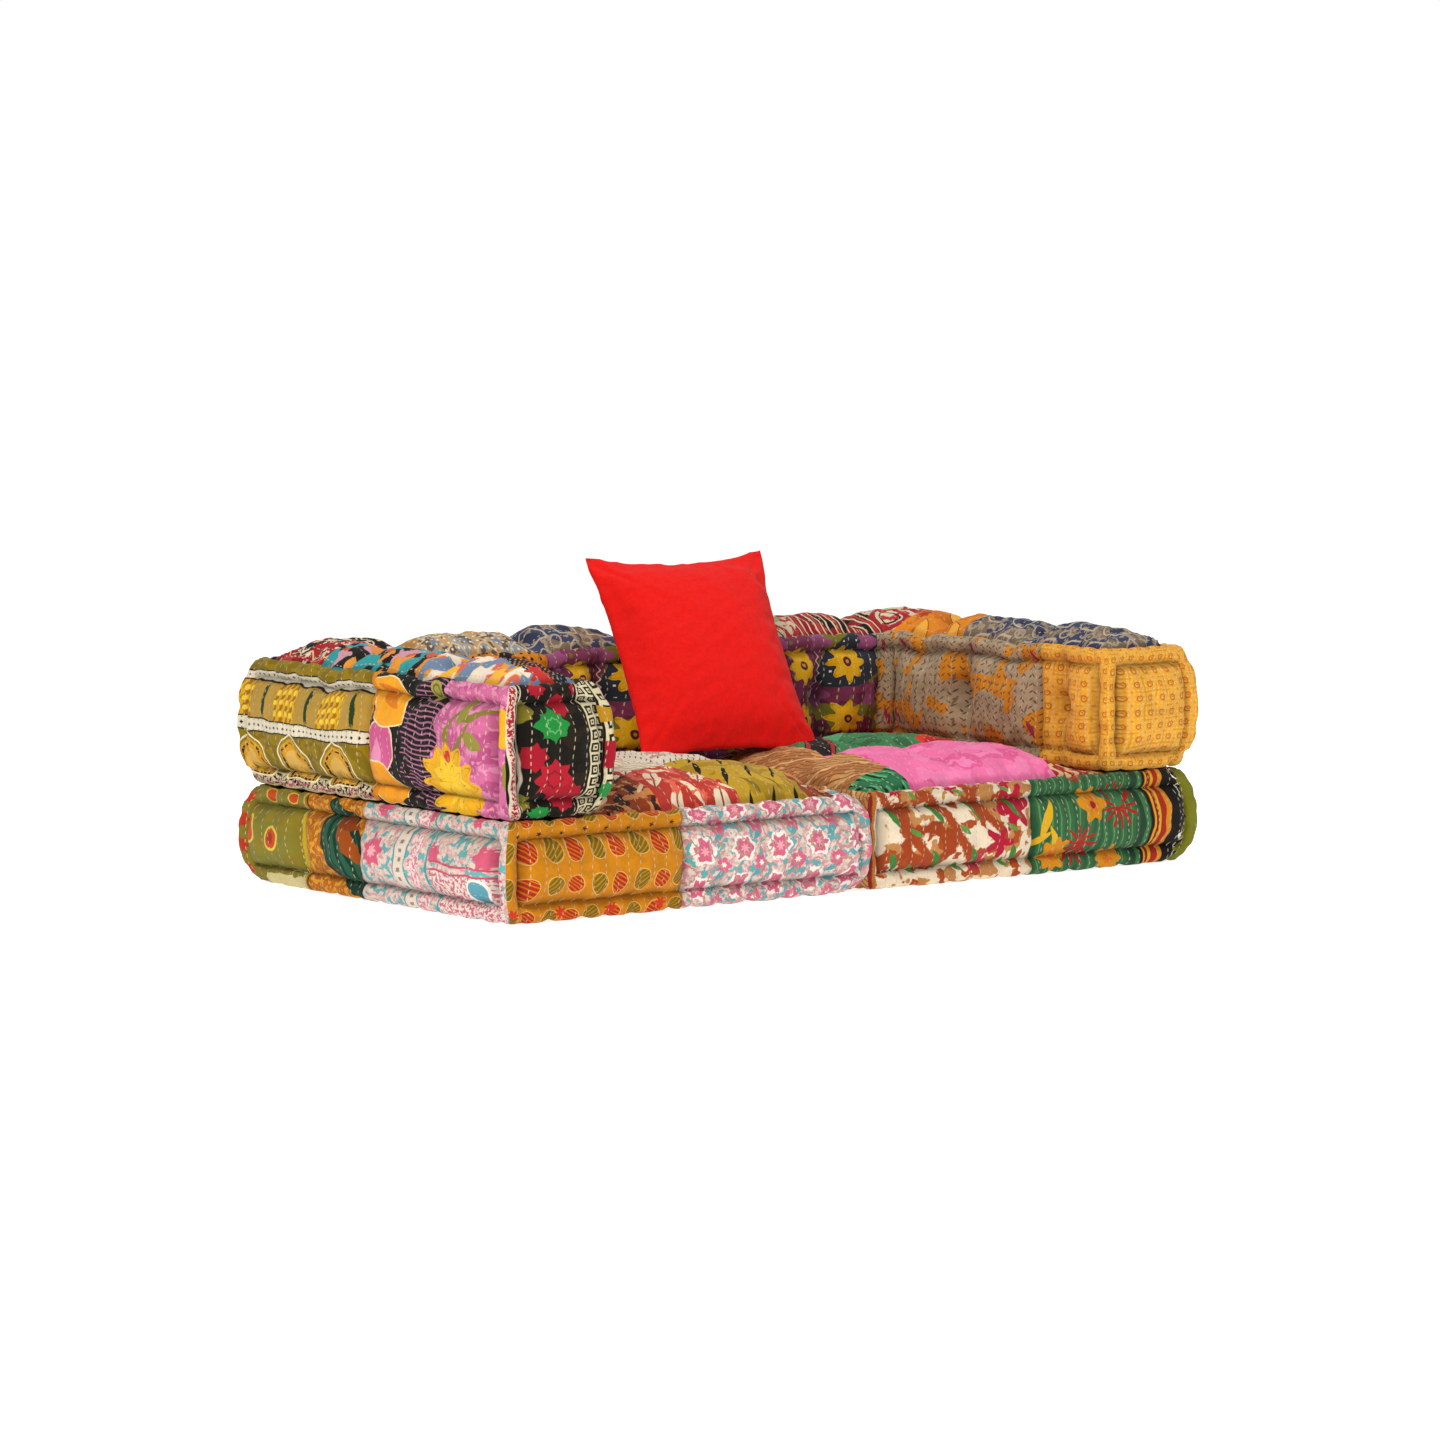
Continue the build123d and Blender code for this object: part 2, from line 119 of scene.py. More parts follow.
def roll_shift(cloth):
    """How far the roll edge draws the cloth in, that far along it from the corner."""
    along = np.clip(cloth, 0, ROLL_CLOTH)
    turn = ROLL_LEAN - along / ROLL_RADIUS
    past = np.clip(cloth - ROLL_CLOTH, 0, ROLL_REACH)
    return (ROLL_RADIUS * (1 - np.sin(turn)) - along) * np.exp(-past / SHIFT_FADE)


def roll_depth(cloth):
    """How deep the cloth lies under the flat of its side, on the roll and down in its seam."""
    turn = ROLL_LEAN - np.clip(cloth, 0, ROLL_CLOTH) / ROLL_RADIUS
    past = np.clip(cloth - ROLL_CLOTH, 0, ROLL_REACH)
    return ROLL_RADIUS * (1 - np.cos(turn)) * np.exp(-past / DEPTH_FADE)


def bumps(along, places, width):
    """A row of soft bumps, one at each place, each 1 at its middle."""
    total = np.zeros_like(along)
    for place in places:
        total = total + np.exp(-((along - place) / width) ** 2)
    return np.clip(total, 0, 1)


def pits(x, y, places, width):
    """Round pits with soft rims, one at each place, each 1 deep at its middle."""
    total = np.zeros_like(x)
    for place_x, place_y in places:
        total = total + np.exp(-(np.hypot(x - place_x, y - place_y) / width) ** 2)
    return total


def crumple(points, length, seed, count=14):
    """Smooth folds of about that length in millimetres, the same in every run."""
    draw = np.random.default_rng(seed)
    ways = draw.normal(size=(count, 3))
    ways /= np.linalg.norm(ways, axis=1)[:, None]
    phases = draw.uniform(0, 2 * math.pi, count)
    ways *= (2 * math.pi / (length * draw.uniform(0.7, 1.4, count)))[:, None]
    return np.sin(points @ ways.T + phases).sum(axis=1) / math.sqrt(count)


def side_edge(facing, offset, start, stop, **more):
    """One upright side of a cushion, from start to stop along it, seen from outside."""
    edge = dict(facing=facing, offset=offset, start=start, stop=stop, start_roll=True, stop_roll=True,
                swell=0.0, seams=(), valleys=())
    edge.update(more)
    return edge


def rims(cushion, panel, points):
    """The rims around a panel: each point's gap from the rim, its place along it, and the rim's number."""
    edge = panel["edge"]
    if edge is None:
        found = []
        for each in cushion["edges"]:
            across, _, away = FACINGS[each["facing"]]
            along = points @ across
            beside = (along >= each["start"] - SLIP) & (along <= each["stop"] + SLIP)
            gap = np.where(beside, each["offset"] - points @ away, FAR)
            number = each["offset"] * 0.01 + len(each["facing"]) + (panel["facing"] == "top")
            found.append((gap, along, number))
        return found
    along, height = points @ FACINGS[panel["facing"]][0], points[:, 2]
    number = edge["offset"] * 0.01 + len(edge["facing"])
    found = [(height - cushion["low"], along, number), (cushion["high"] - height, along, number + 1)]
    if edge["start_roll"]:
        found.append((along - edge["start"], height, round(edge["start"]) * 0.1 + 3))
    if edge["stop_roll"]:
        found.append((edge["stop"] - along, height, round(edge["stop"]) * 0.1 + 5))
    return found


def tufted(cushion, panel, points):
    """Each point's two measures on the panel, and the places of the panel's tufts in the same measures."""
    edge = panel["edge"]
    if edge is None:
        return points[:, 0], points[:, 1], cushion["tufts"] if panel["facing"] == "top" else []
    middle = (cushion["low"] + cushion["high"]) / 2
    return points @ FACINGS[panel["facing"]][0], points[:, 2], [(place, middle) for place in edge["valleys"]]


def shaped_side(cushion, panel, points):
    """Where stuffing and sewing bring the points of an upright side."""
    edge = panel["edge"]
    across, _, out = FACINGS[panel["facing"]]
    low, high = cushion["low"], cushion["high"]
    along, height, tufts = tufted(cushion, panel, points)
    full = np.ones(len(points))
    ends = ((along - edge["start"], edge["start_roll"]), (edge["stop"] - along, edge["stop_roll"]))
    for gap, rolled in ends:
        if rolled:
            filled = np.clip((gap - ROLL_CLOTH) / FULL_PAST_ROLL, 0, 1)
            full = full * np.sin(filled * math.pi / 2) ** ROUND_ALONG
        else:
            filled = np.clip(gap / FULL_PAST_JOIN, 0, 1)
            full = full * np.sin(filled * math.pi / 2)
    level = np.clip((height - (low + high) / 2) / ((high - low) / 2 - ROLL_CLOTH), -1, 1)
    body = (1 - level ** 2) ** ROUND_UP
    push = -roll_depth(np.min([gap for gap, _, _ in rims(cushion, panel, points)], axis=0))
    push += edge["swell"] * body * full * (1 - DIP_SHARE * bumps(along, edge["seams"], DIP_WIDTH))
    push -= GROOVE_DEPTH * bumps(along, edge["seams"], GROOVE_WIDTH) * full * body ** GROOVE_FADE
    push -= VALLEY_DEPTH * bumps(along, edge["valleys"], VALLEY_WIDTH) * body
    push -= DRAWN_DEPTH * bumps(along, edge["valleys"], DRAWN_WIDTH)
    push -= FUNNEL_DEPTH * pits(along, height, tufts, FUNNEL_WIDTH)
    moved = points + out * push[:, None]
    moved[:, 2] += roll_shift(height - low) - roll_shift(high - height)
    if edge["start_roll"]:
        moved += across * roll_shift(along - edge["start"])[:, None]
    if edge["stop_roll"]:
        moved -= across * roll_shift(edge["stop"] - along)[:, None]
    return moved


def shaped_flat(cushion, panel, points):
    """The same for a top or an underside."""
    moved = points.copy()
    nearest = np.full(len(points), FAR)
    for each, (gap, along, _) in zip(cushion["edges"], rims(cushion, panel, points)):
        nearest = np.minimum(nearest, gap)
        pinched = DRAWN_DEPTH * bumps(along, each["valleys"], DRAWN_WIDTH) * np.exp(-gap / DRAWN_FADE)
        moved -= FACINGS[each["facing"]][2] * (roll_shift(gap) + pinched)[:, None]
    if cushion["nook"] is not None:
        # The inside corner of the L, where the roll turns about a point
        nook = np.array(cushion["nook"])
        past = (points[:, :2] - nook) * np.array([cushion["hand"], 1.0])
        inside = (past > 0).all(axis=1)
        gap = np.where(inside, np.hypot(past[:, 0], past[:, 1]), FAR)
        nearest = np.minimum(nearest, gap)
        toward = (points[:, :2] - nook) / np.maximum(gap, 1e-6)[:, None]
        moved[:, :2] += toward * np.where(inside, roll_shift(gap), 0)[:, None]
    lift = -roll_depth(nearest)
    if panel["facing"] == "top":
        lift = lift + cushion["crown"](points, nearest)
    moved[:, 2] += FACINGS[panel["facing"]][2][2] * lift
    return moved


def shaped(cushion, panel, points):
    """Where stuffing and sewing bring the points of one panel of the plain block."""
    form = shaped_flat if panel["edge"] is None else shaped_side
    moved = form(cushion, panel, points)
    low, high = cushion["low"], cushion["high"]
    moved[:, 2] += cushion["wave"](points) * (points[:, 2] - low) / (high - low)
    # The upright corners bow: their ends are drawn in and their middles pushed out
    level = ((2 * points[:, 2] - low - high) / (high - low)) ** 2
    bow = BOW_IN * level ** BOW_END - BOW_OUT * (1 - level)
    for x, y, inward_x, inward_y in cushion["corners"]:
        pull = pits(points[:, 0], points[:, 1], [(x, y)], BOW_REACH) * bow
        moved[:, :2] += pull[:, None] * np.array([inward_x, inward_y])
    return moved


def seat_crown(hand, tufts):
    """The seat's dome between the bolsters, quilted down in two channels each way."""
    def crown(points, nearest):
        x, y = points[:, 0] * hand, points[:, 1]
        side_x = np.abs(np.clip((x - DOME_X) / DOME_HALF_X, -1, 1)) ** SQUARE_X
        side_y = np.abs(np.clip((y - DOME_Y) / DOME_HALF_Y, -1, 1)) ** SQUARE_Y
        dome = DOME_HEIGHT * (1 - side_x) ** DOME_ROUND * (1 - side_y) ** DOME_ROUND
        columns = 1 - SEAT_CHANNEL_SHARE * bumps(x, CHANNELS_X, SEAT_CHANNEL_WIDTH)
        rows = 1 - SEAT_CHANNEL_SHARE * bumps(y, CHANNELS_Y, SEAT_CHANNEL_WIDTH)
        pit = SEAT_TUFT_DEPTH * pits(points[:, 0], y, tufts, SEAT_TUFT_WIDTH)
        return dome * columns * rows - pit * (dome > SEAT_TUFT_LEAST)
    return crown


def bolster_crown(hand, tufts):
    """The bolster's rounded top with its cross channels."""
    def crown(points, nearest):
        x, y = points[:, 0] * hand, points[:, 1]
        inward = np.clip((nearest - ROLL_CLOTH) / CROWN_REACH, 0, 1)
        rise = CROWN_HEIGHT * (1 - (1 - inward) ** 2.0)
        arm = np.where(y < ARM_ENDS, bumps(y, CHANNELS_Y, CHANNEL_WIDTH), 0)
        back = np.where((x < CORNER_BEGINS) & (y > BACK_BEGINS), bumps(x, CHANNELS_X, CHANNEL_WIDTH), 0)
        rise = rise * (1 - ARM_CHANNEL_SHARE * arm) * (1 - BACK_CHANNEL_SHARE * back)
        return rise - TUFT_DEPTH * pits(points[:, 0], y, tufts, TUFT_WIDTH)
    return crown


def bolster_wave(hand):
    """The top roll rides up over each stuffed bay and dips at the channels."""
    def wave(points):
        x, y = points[:, 0] * hand, points[:, 1]
        arm = -DIP_ARM * bumps(y, CHANNELS_Y, WAVE_WIDTH)
        back = -DIP_BACK * bumps(x, CHANNELS_X, WAVE_WIDTH)
        share = np.clip((y - BACK_BEGINS) / WAVE_BLEND, 0, 1)
        corner = np.clip((x - WAVE_CORNER) / WAVE_BLEND, 0, 1)
        return arm * (1 - share) + back * (1 - corner) * share + RIDE_UP
    return wave


def no_wave(points):
    return np.zeros(len(points))


# Laying out and sewing the covers

# Marks closer together than this are one line of the cloth's grid
SAME_LINE = 3


def cloth_lines(marks, pitch):
    """Lines of the cloth's grid: through every mark, and about a pitch apart between them."""
    kept = []
    for mark in sorted(marks):
        if not kept or mark - kept[-1] > SAME_LINE:
            kept.append(mark)
    kept[-1] = max(marks)
    lines = [kept[0]]
    for low, high in zip(kept, kept[1:]):
        steps = max(1, round((high - low) / pitch))
        lines += [low + (high - low) * k / steps for k in range(1, steps + 1)]
    return np.array(lines)


def roll_marks(low, high):
    return [low, low + ROLL_CLOTH, high - ROLL_CLOTH, high]


def halved(lines):
    """The same lines with one more in the middle of every gap."""
    finer = np.empty(2 * len(lines) - 1)
    finer[::2] = lines
    finer[1::2] = (lines[:-1] + lines[1:]) / 2
    return finer


def panel_grid(panel, finer=False):
    """The panel's grid on the plain block, row by row."""
    across, up, out = FACINGS[panel["facing"]]
    u, v = (halved(panel[key]) if finer else panel[key] for key in ("u", "v"))
    uu, vv = np.meshgrid(u, v, indexing="ij")
    return uu[..., None] * across + vv[..., None] * up + panel["offset"] * out


def sewn(grids):
    """Joins the panels where their rims meet: index of every grid point, how many are left, and the faces."""
    keys = np.round(np.concatenate([grid.reshape(-1, 3) for grid in grids]), 1) + 0.0
    _, first, index = np.unique(keys, axis=0, return_index=True, return_inverse=True)
    index = index.reshape(-1)
    faces, begin = [], 0
    for grid in grids:
        nu, nv = grid.shape[:2]
        own = index[begin:begin + nu * nv].reshape(nu, nv)
        corners = [own[:-1, :-1], own[1:, :-1], own[1:, 1:], own[:-1, 1:]]
        faces.append(np.stack(corners, axis=-1).reshape(-1, 4))
        begin += nu * nv
    return index, len(first), np.concatenate(faces)


def meaned(index, count, pieces):
    """One value for each sewn point, the mean of its panels' values."""
    values = np.concatenate([piece.reshape(-1, piece.shape[-1]) for piece in pieces])
    total = np.stack([np.bincount(index, column, count) for column in values.T], axis=1)
    return total / np.bincount(index, minlength=count)[:, None]


def cover_mesh(name, points, faces):
    """A new mesh object with those points, given in millimetres, and a list of faces."""
    mesh = bpy.data.meshes.new(name)
    mesh.from_pydata((np.array(points) * MILLIMETRE).tolist(), [], faces)
    mesh.polygons.foreach_set("use_smooth", [True] * len(mesh.polygons))
    mesh.update()
    cover = bpy.data.objects.new(name, mesh)
    bpy.context.scene.collection.objects.link(cover)
    return cover


def stuffed(points, faces, held, slack, most, pressure=4.0, frames=20):
    """How far the cloth moves when the cover is blown up like a stuffed one, its seams held."""
    scene = bpy.context.scene
    cover = cover_mesh("cover_on_the_bench", points, faces.tolist())
    seams = cover.vertex_groups.new(name="seams")
    for strength in (1.0, PART_HELD):
        seams.add(np.nonzero(np.isclose(held, strength))[0].tolist(), strength, "REPLACE")
    filling = cover.modifiers.new("filling", "CLOTH")
    cloth = filling.settings
    cloth.quality = 5
    cloth.mass = 0.3
    cloth.tension_stiffness = cloth.compression_stiffness = 14
    cloth.bending_stiffness = 0.35
    cloth.use_pressure = True
    cloth.uniform_pressure_force = pressure
    cloth.vertex_group_mass = "seams"
    cloth.shrink_min = -slack
    cloth.effector_weights.gravity = 0
    filling.collision_settings.use_collision = False
    filling.point_cache.frame_start, filling.point_cache.frame_end = 1, frames
    for step in range(1, frames + 1):
        scene.frame_set(step)
    seen = cover.evaluated_get(bpy.context.evaluated_depsgraph_get()).data
    after = np.empty(len(points) * 3)
    seen.vertices.foreach_get("co", after)
    moved = after.reshape(-1, 3) / MILLIMETRE - points
    mesh = cover.data
    bpy.data.objects.remove(cover)
    bpy.data.meshes.remove(mesh)
    scene.frame_set(1)
    reach = np.linalg.norm(moved, axis=1)
    return moved * (most * np.tanh(reach / most) / np.maximum(reach, 1e-6))[:, None]


def point_normals(points, faces):
    sides = points[faces]
    normal = np.cross(sides[:, 2] - sides[:, 0], sides[:, 3] - sides[:, 1])
    total = np.zeros_like(points)
    for k in range(4):
        np.add.at(total, faces[:, k], normal)
    return total / np.maximum(np.linalg.norm(total, axis=1), 1e-9)[:, None]


def eased(grid):
    """Half of each point's own movement and half of its neighbours', which takes out the finest buckles."""
    wider = np.pad(grid, ((1, 1), (1, 1), (0, 0)), mode="edge")
    return grid / 2 + (wider[:-2, 1:-1] + wider[2:, 1:-1] + wider[1:-1, :-2] + wider[1:-1, 2:]) / 8


def spread_over(grids, moved):
    """The coarse grids' movement, given for every grid point, eased and laid on the halved grids."""
    pieces, begin = [], 0
    for grid in grids:
        nu, nv = grid.shape[:2]
        coarse = eased(eased(moved[begin:begin + nu * nv].reshape(nu, nv, 3)))
        begin += nu * nv
        fine = np.empty((2 * nu - 1, 2 * nv - 1, 3))
        fine[::2, ::2] = coarse
        fine[1::2, ::2] = (coarse[:-1] + coarse[1:]) / 2
        fine[::2, 1::2] = (coarse[:, :-1] + coarse[:, 1:]) / 2
        fine[1::2, 1::2] = (coarse[:-1, :-1] + coarse[1:, :-1] + coarse[:-1, 1:] + coarse[1:, 1:]) / 4
        pieces.append(fine)
    return pieces


# Nips in the rolls: how far apart the thread makes them, how far they stray from that, how wide and deep,
# the least share of that depth and how much it varies, and how they fade to the roll's seam
NIP_PITCH, NIP_STRAY, NIP_WIDTH, NIP_DEPTH = 56, 26, 9.0, 3.6
NIP_LEAST, NIP_MORE, NIP_ROUND = 0.45, 0.9, 0.6
# The scatter of the nips: any large odd numbers do
SCATTER_STEP, SCATTER_SEED, SCATTER_SPREAD, SCATTER_AGAIN = 12.9898, 7.7, 43758.5453, 7.3
# Puckers beside a roll: their pitch, height, how far they run out over the cloth, where they end, and how far,
# how long and by which seed they wander
PUCKER_PITCH, PUCKER_HEIGHT, PUCKER_FADE, PUCKER_FAINT, PUCKER_END = 19, 1.6, 17, 200, 300
PUCKER_WANDER, WANDER_FOLDS, WANDER_SEED = 2.6, 60, 11
# Quilting rows on the cloth, how wide and deep each is, and how far from a roll's seam they are full
ROW_PITCH, ROW_WIDTH, ROW_DEPTH, OPEN_FROM_ROLL = 22, 3.2, 0.9, 12
# The folds: length, height and seed
CREASES, DIMPLES, RUMPLES, HOLLOWS = (56, 1.7, 21), (30, 0.55, 22), (15, 0.25, 23), (130, 2.2, 24)


def nips(along, number):
    """How far each nip draws the roll in, from none to a little over 1."""
    count = np.round(along / NIP_PITCH)
    jitter = (np.sin(count * SCATTER_STEP + number * SCATTER_SEED) * SCATTER_SPREAD) % 1.0
    place = count * NIP_PITCH + (jitter - 0.5) * NIP_STRAY
    deep = NIP_LEAST + NIP_MORE * ((jitter * SCATTER_AGAIN) % 1.0)
    return deep * np.exp(-((along - place) / NIP_WIDTH) ** 2)


def hand_finish(cushion, panel, points):
    """Fine relief on one panel, outward, and how much painted shade each point takes from the seams, pinches
    and tufts that it lies in.
    """
    relief = np.zeros(len(points))
    nearest = np.full(len(points), FAR)
    wander = PUCKER_WANDER * crumple(points, WANDER_FOLDS, WANDER_SEED)
    for gap, along, number in rims(cushion, panel, points):
        on_roll = np.cos(np.clip(gap / ROLL_CLOTH, 0, 1) * math.pi / 2) ** NIP_ROUND
        relief = np.minimum(relief, -NIP_DEPTH * nips(along, number) * np.where(gap < ROLL_CLOTH, on_roll, 0))
        past = gap - ROLL_CLOTH
        faded = np.exp(-np.clip(past, 0, PUCKER_FAINT) / PUCKER_FADE)
        puckers = np.sin(along * 2 * math.pi / PUCKER_PITCH + wander) * faded
        relief += np.where((past >= 0) & (gap < PUCKER_END), PUCKER_HEIGHT * puckers, 0)
        nearest = np.minimum(nearest, gap)
    open_cloth = np.clip((nearest - ROLL_CLOTH) / OPEN_FROM_ROLL, 0, 1)
    across, up, _ = FACINGS[panel["facing"]]
    rows = points @ (up if panel["edge"] is None else across)
    middle = ROW_PITCH / 2
    relief -= ROW_DEPTH * np.exp(-((((rows + middle) % ROW_PITCH) - middle) / ROW_WIDTH) ** 2) * open_cloth
    for (length, height, seed), least, sharp in (
            (CREASES, 0.35, True), (DIMPLES, 0.45, False), (RUMPLES, 0.0, False), (HOLLOWS, 0.0, False)):
        folds = crumple(points, length, seed)
        if sharp:
            relief -= height * np.abs(folds) * (least + (1 - least) * open_cloth)
        else:
            relief += (least + height * open_cloth) * folds
    return relief, gathered(cushion, panel, points, nearest)


# Painted shade in the grooves, a width and a strength for each: along the rolls, at patch seams, pinches,
# tufts and at the height of the seat's top, where a bolster sits
ROLL_PAINTED_SHADE, SEAM_PAINTED_SHADE, PINCH_PAINTED_SHADE, TUFT_PAINTED_SHADE, MEETING_PAINTED_SHADE = (
    (4.5, 0.95), (5, 0.7), (13, 0.4), (19, 0.7), (6, 0.55))


def gathered(cushion, panel, points, nearest):
    """How much painted shade each point takes for lying in a seam, a pinch or a tuft, or at the seat's top,
    from 0 to 1.
    """
    def painted_darkening(kind, measure, places):
        return kind[1] * bumps(measure, places, kind[0])

    # Painted shade: darker in the groove along each roll, in patch seams, pinches, tufts and where a bolster
    # meets the seat
    deep = painted_darkening(ROLL_PAINTED_SHADE, nearest, [ROLL_CLOTH + 1])
    edge = panel["edge"]
    if edge is not None:
        along = points @ FACINGS[panel["facing"]][0]
        deep += painted_darkening(SEAM_PAINTED_SHADE, along, edge["seams"]) + painted_darkening(PINCH_PAINTED_SHADE, along, edge["valleys"])
        deep += painted_darkening(MEETING_PAINTED_SHADE, points[:, 2], [SEAT_TOP])
    deep += TUFT_PAINTED_SHADE[1] * pits(*tufted(cushion, panel, points), TUFT_PAINTED_SHADE[0])
    return np.clip(deep, 0, 1)


# How near a seam or a tuft the thread holds the cloth, in millimetres
HELD_SEAM, HELD_TUFT, HELD_ROLL, HELD_RIM = 2.4, 13, 2, 0.5


def held_by_thread(cushion, panel, points):
    """What the thread holds while the cover is stuffed: 1 on roll seams and tufts, part on patch seams."""
    held = np.zeros(len(points))
    edge = panel["edge"]
    x, y, tufts = tufted(cushion, panel, points)
    if edge is not None:
        for seam in edge["seams"]:
            held[np.abs(x - seam) < HELD_SEAM] = PART_HELD
    for tuft_x, tuft_y in tufts:
        held[np.hypot(x - tuft_x, y - tuft_y) < HELD_TUFT] = 1
    if panel["facing"] == "under" or (edge is not None and edge["swell"] == 0):
        held[:] = 1
    for gap, _, _ in rims(cushion, panel, points):
        held[np.abs(gap - ROLL_CLOTH) < HELD_ROLL] = 1
        rim = np.abs(gap) < HELD_RIM
        held[rim] = np.maximum(held[rim], PART_HELD)
    return held


def make_cushion(cushion):
    """Lays out the cover's panels, stuffs it, halves its grid once and finishes it by hand."""
    def on_each(work, grids):
        return [work(cushion, panel, grid.reshape(-1, 3)) for panel, grid in zip(cushion["panels"], grids)]

    coarse = [panel_grid(panel) for panel in cushion["panels"]]
    index, count, faces = sewn(coarse)
    held = np.zeros(count)
    np.maximum.at(held, index, np.concatenate(on_each(held_by_thread, coarse)))
    start = meaned(index, count, on_each(shaped, coarse))
    moved = stuffed(start, faces, held, SLACK, MOST)[index]
    fine = [panel_grid(panel, finer=True) for panel in cushion["panels"]]
    index, count, faces = sewn(fine)
    block = meaned(index, count, fine)
    points = meaned(index, count, on_each(shaped, fine)) + meaned(index, count, spread_over(coarse, moved))
    normals = point_normals(points, faces)
    finish = meaned(index, count, [np.stack(pair, axis=1) for pair in on_each(hand_finish, fine)])
    points = cushion["kept_clear"](points + normals * finish[:, :1], block)
    cover = cover_mesh(cushion["name"], points, faces.tolist())
    # A layer of painted seam shade on each point, by which the cloths darken their colour
    painted_shade_layer = cover.data.attributes.new("gathered", "FLOAT", "POINT")
    painted_shade_layer.data.foreach_set("value", finish[:, 1])
    wear_patches(cushion, cover.data)
    cushion["points"], cushion["block"] = points, block
    return cover


def patch_at(edge, along):
    """The patch of a side at that place along it: where it starts, and its cloth."""
    started = [patch for patch in edge["patches"] if patch[0] <= along]
    return started[-1] if started else edge["patches"][0]


def patch_of(cushion, panel, u, v):
    """The patch at the middle of a face: its cloth, where the cloth's own corner lies, and its side.

    On the top and the underside, a roll wears the patch of the side below or above it."""
    if panel["edge"] is not None:
        start, cloth = patch_at(panel["edge"], u)
        return cloth, start, cushion["low"], None
    across, up, _ = FACINGS[panel["facing"]]
    point = u * across + v * up
    near = []
    for number, each in enumerate(cushion["edges"]):
        along, _, away = (float(point @ axis) for axis in FACINGS[each["facing"]])
        if each["start"] <= along <= each["stop"]:
            near.append((each["offset"] - away, number, along))
    gap, number, along = min(near, default=(FAR, 0, 0))
    if gap < ROLL_CLOTH:
        start, cloth = patch_at(cushion["edges"][number], along)
        return cloth, start, cushion["low"], cushion["edges"][number]
    if panel["facing"] == "under":
        return "calico", panel["u"][0], panel["v"][0], None
    for x0, y0, x1, y1, cloth in cushion["top_patches"]:
        if x0 <= point[0] <= x1 and y0 <= point[1] <= y1:
            break
    return cloth, x0, y0, None


def wear_patches(cushion, mesh):
    """Gives each face its patch's cloth, and lays the patch flat as it was cut, in metres from its corner."""
    cut = mesh.uv_layers.new(name="cut")
    worn, slots, coordinates = {}, [], []
    for panel in cushion["panels"]:
        across, up, _ = FACINGS[panel["facing"]]
        u, v = halved(panel["u"]), halved(panel["v"])
        for i in range(len(u) - 1):
            for j in range(len(v) - 1):
                cloth, u0, v0, edge = patch_of(cushion, panel, (u[i] + u[i + 1]) / 2, (v[j] + v[j + 1]) / 2)
                slots.append(worn.setdefault(cloth, len(worn)))
                for a, b in ((u[i], v[j]), (u[i + 1], v[j]), (u[i + 1], v[j + 1]), (u[i], v[j + 1])):
                    if edge is not None:
                        place = a * across + b * up
                        a, _, away = (float(place @ axis) for axis in FACINGS[edge["facing"]])
                        gap = edge["offset"] - away
                        b = cushion["high"] + gap if panel["facing"] == "top" else cushion["low"] - gap
                    coordinates += [(a - u0) * MILLIMETRE, (b - v0) * MILLIMETRE]
    cut.data.foreach_set("uv", coordinates)
    for cloth in worn:
        mesh.materials.append(CLOTHS[cloth])
    mesh.polygons.foreach_set("material_index", slots)
    mesh.update()


# Cloths

def linear(colour):
    """An sRGB hex colour as the linear colour that a shader takes."""
    parts = [int(colour[k:k + 2], 16) / 255 for k in (0, 2, 4)]
    return [p / 12.92 if p <= 0.04045 else ((p + 0.055) / 1.055) ** 2.4 for p in parts] + [1.0]


def add(cloth, kind, feeds=(), out=0, **settings):
    """Adds one node with its settings and links, and gives the output that is asked for."""
    node = cloth.nodes.new("ShaderNode" + kind)
    for name, value in settings.items():
        setattr(node, name, value)
    for key, value in dict(feeds).items():
        if isinstance(value, bpy.types.NodeSocket):
            cloth.links.new(value, node.inputs[key])
        else:
            node.inputs[key].default_value = value
    return node.outputs[out] if node.outputs else None


# Shapes of the figures: how pointed a star is, how wide an arch, how far down it goes and how round it meets
STAR_POINT, ARCH_WIDE, ARCH_FOOT, ARCH_ROUND = 0.66, 0.98, 1.25, 0.3
# A blotch is where a cloud is thicker than the level, which its share of the cloth lowers; how steeply it
# rises there, and how soft it ends
BLOT_LEVEL, BLOT_SHARE, BLOT_EDGE, BLOT_BLUR = 0.62, 0.24, 3.0, 0.08
# A rough edge takes its clouds at this many to the figure's size
ROUGHNESS = 2.2
# A blurred edge reaches inward by half of this share of the figure at most
MOST_BLUR = 0.9
# Rows without an end
ENDLESS = 999


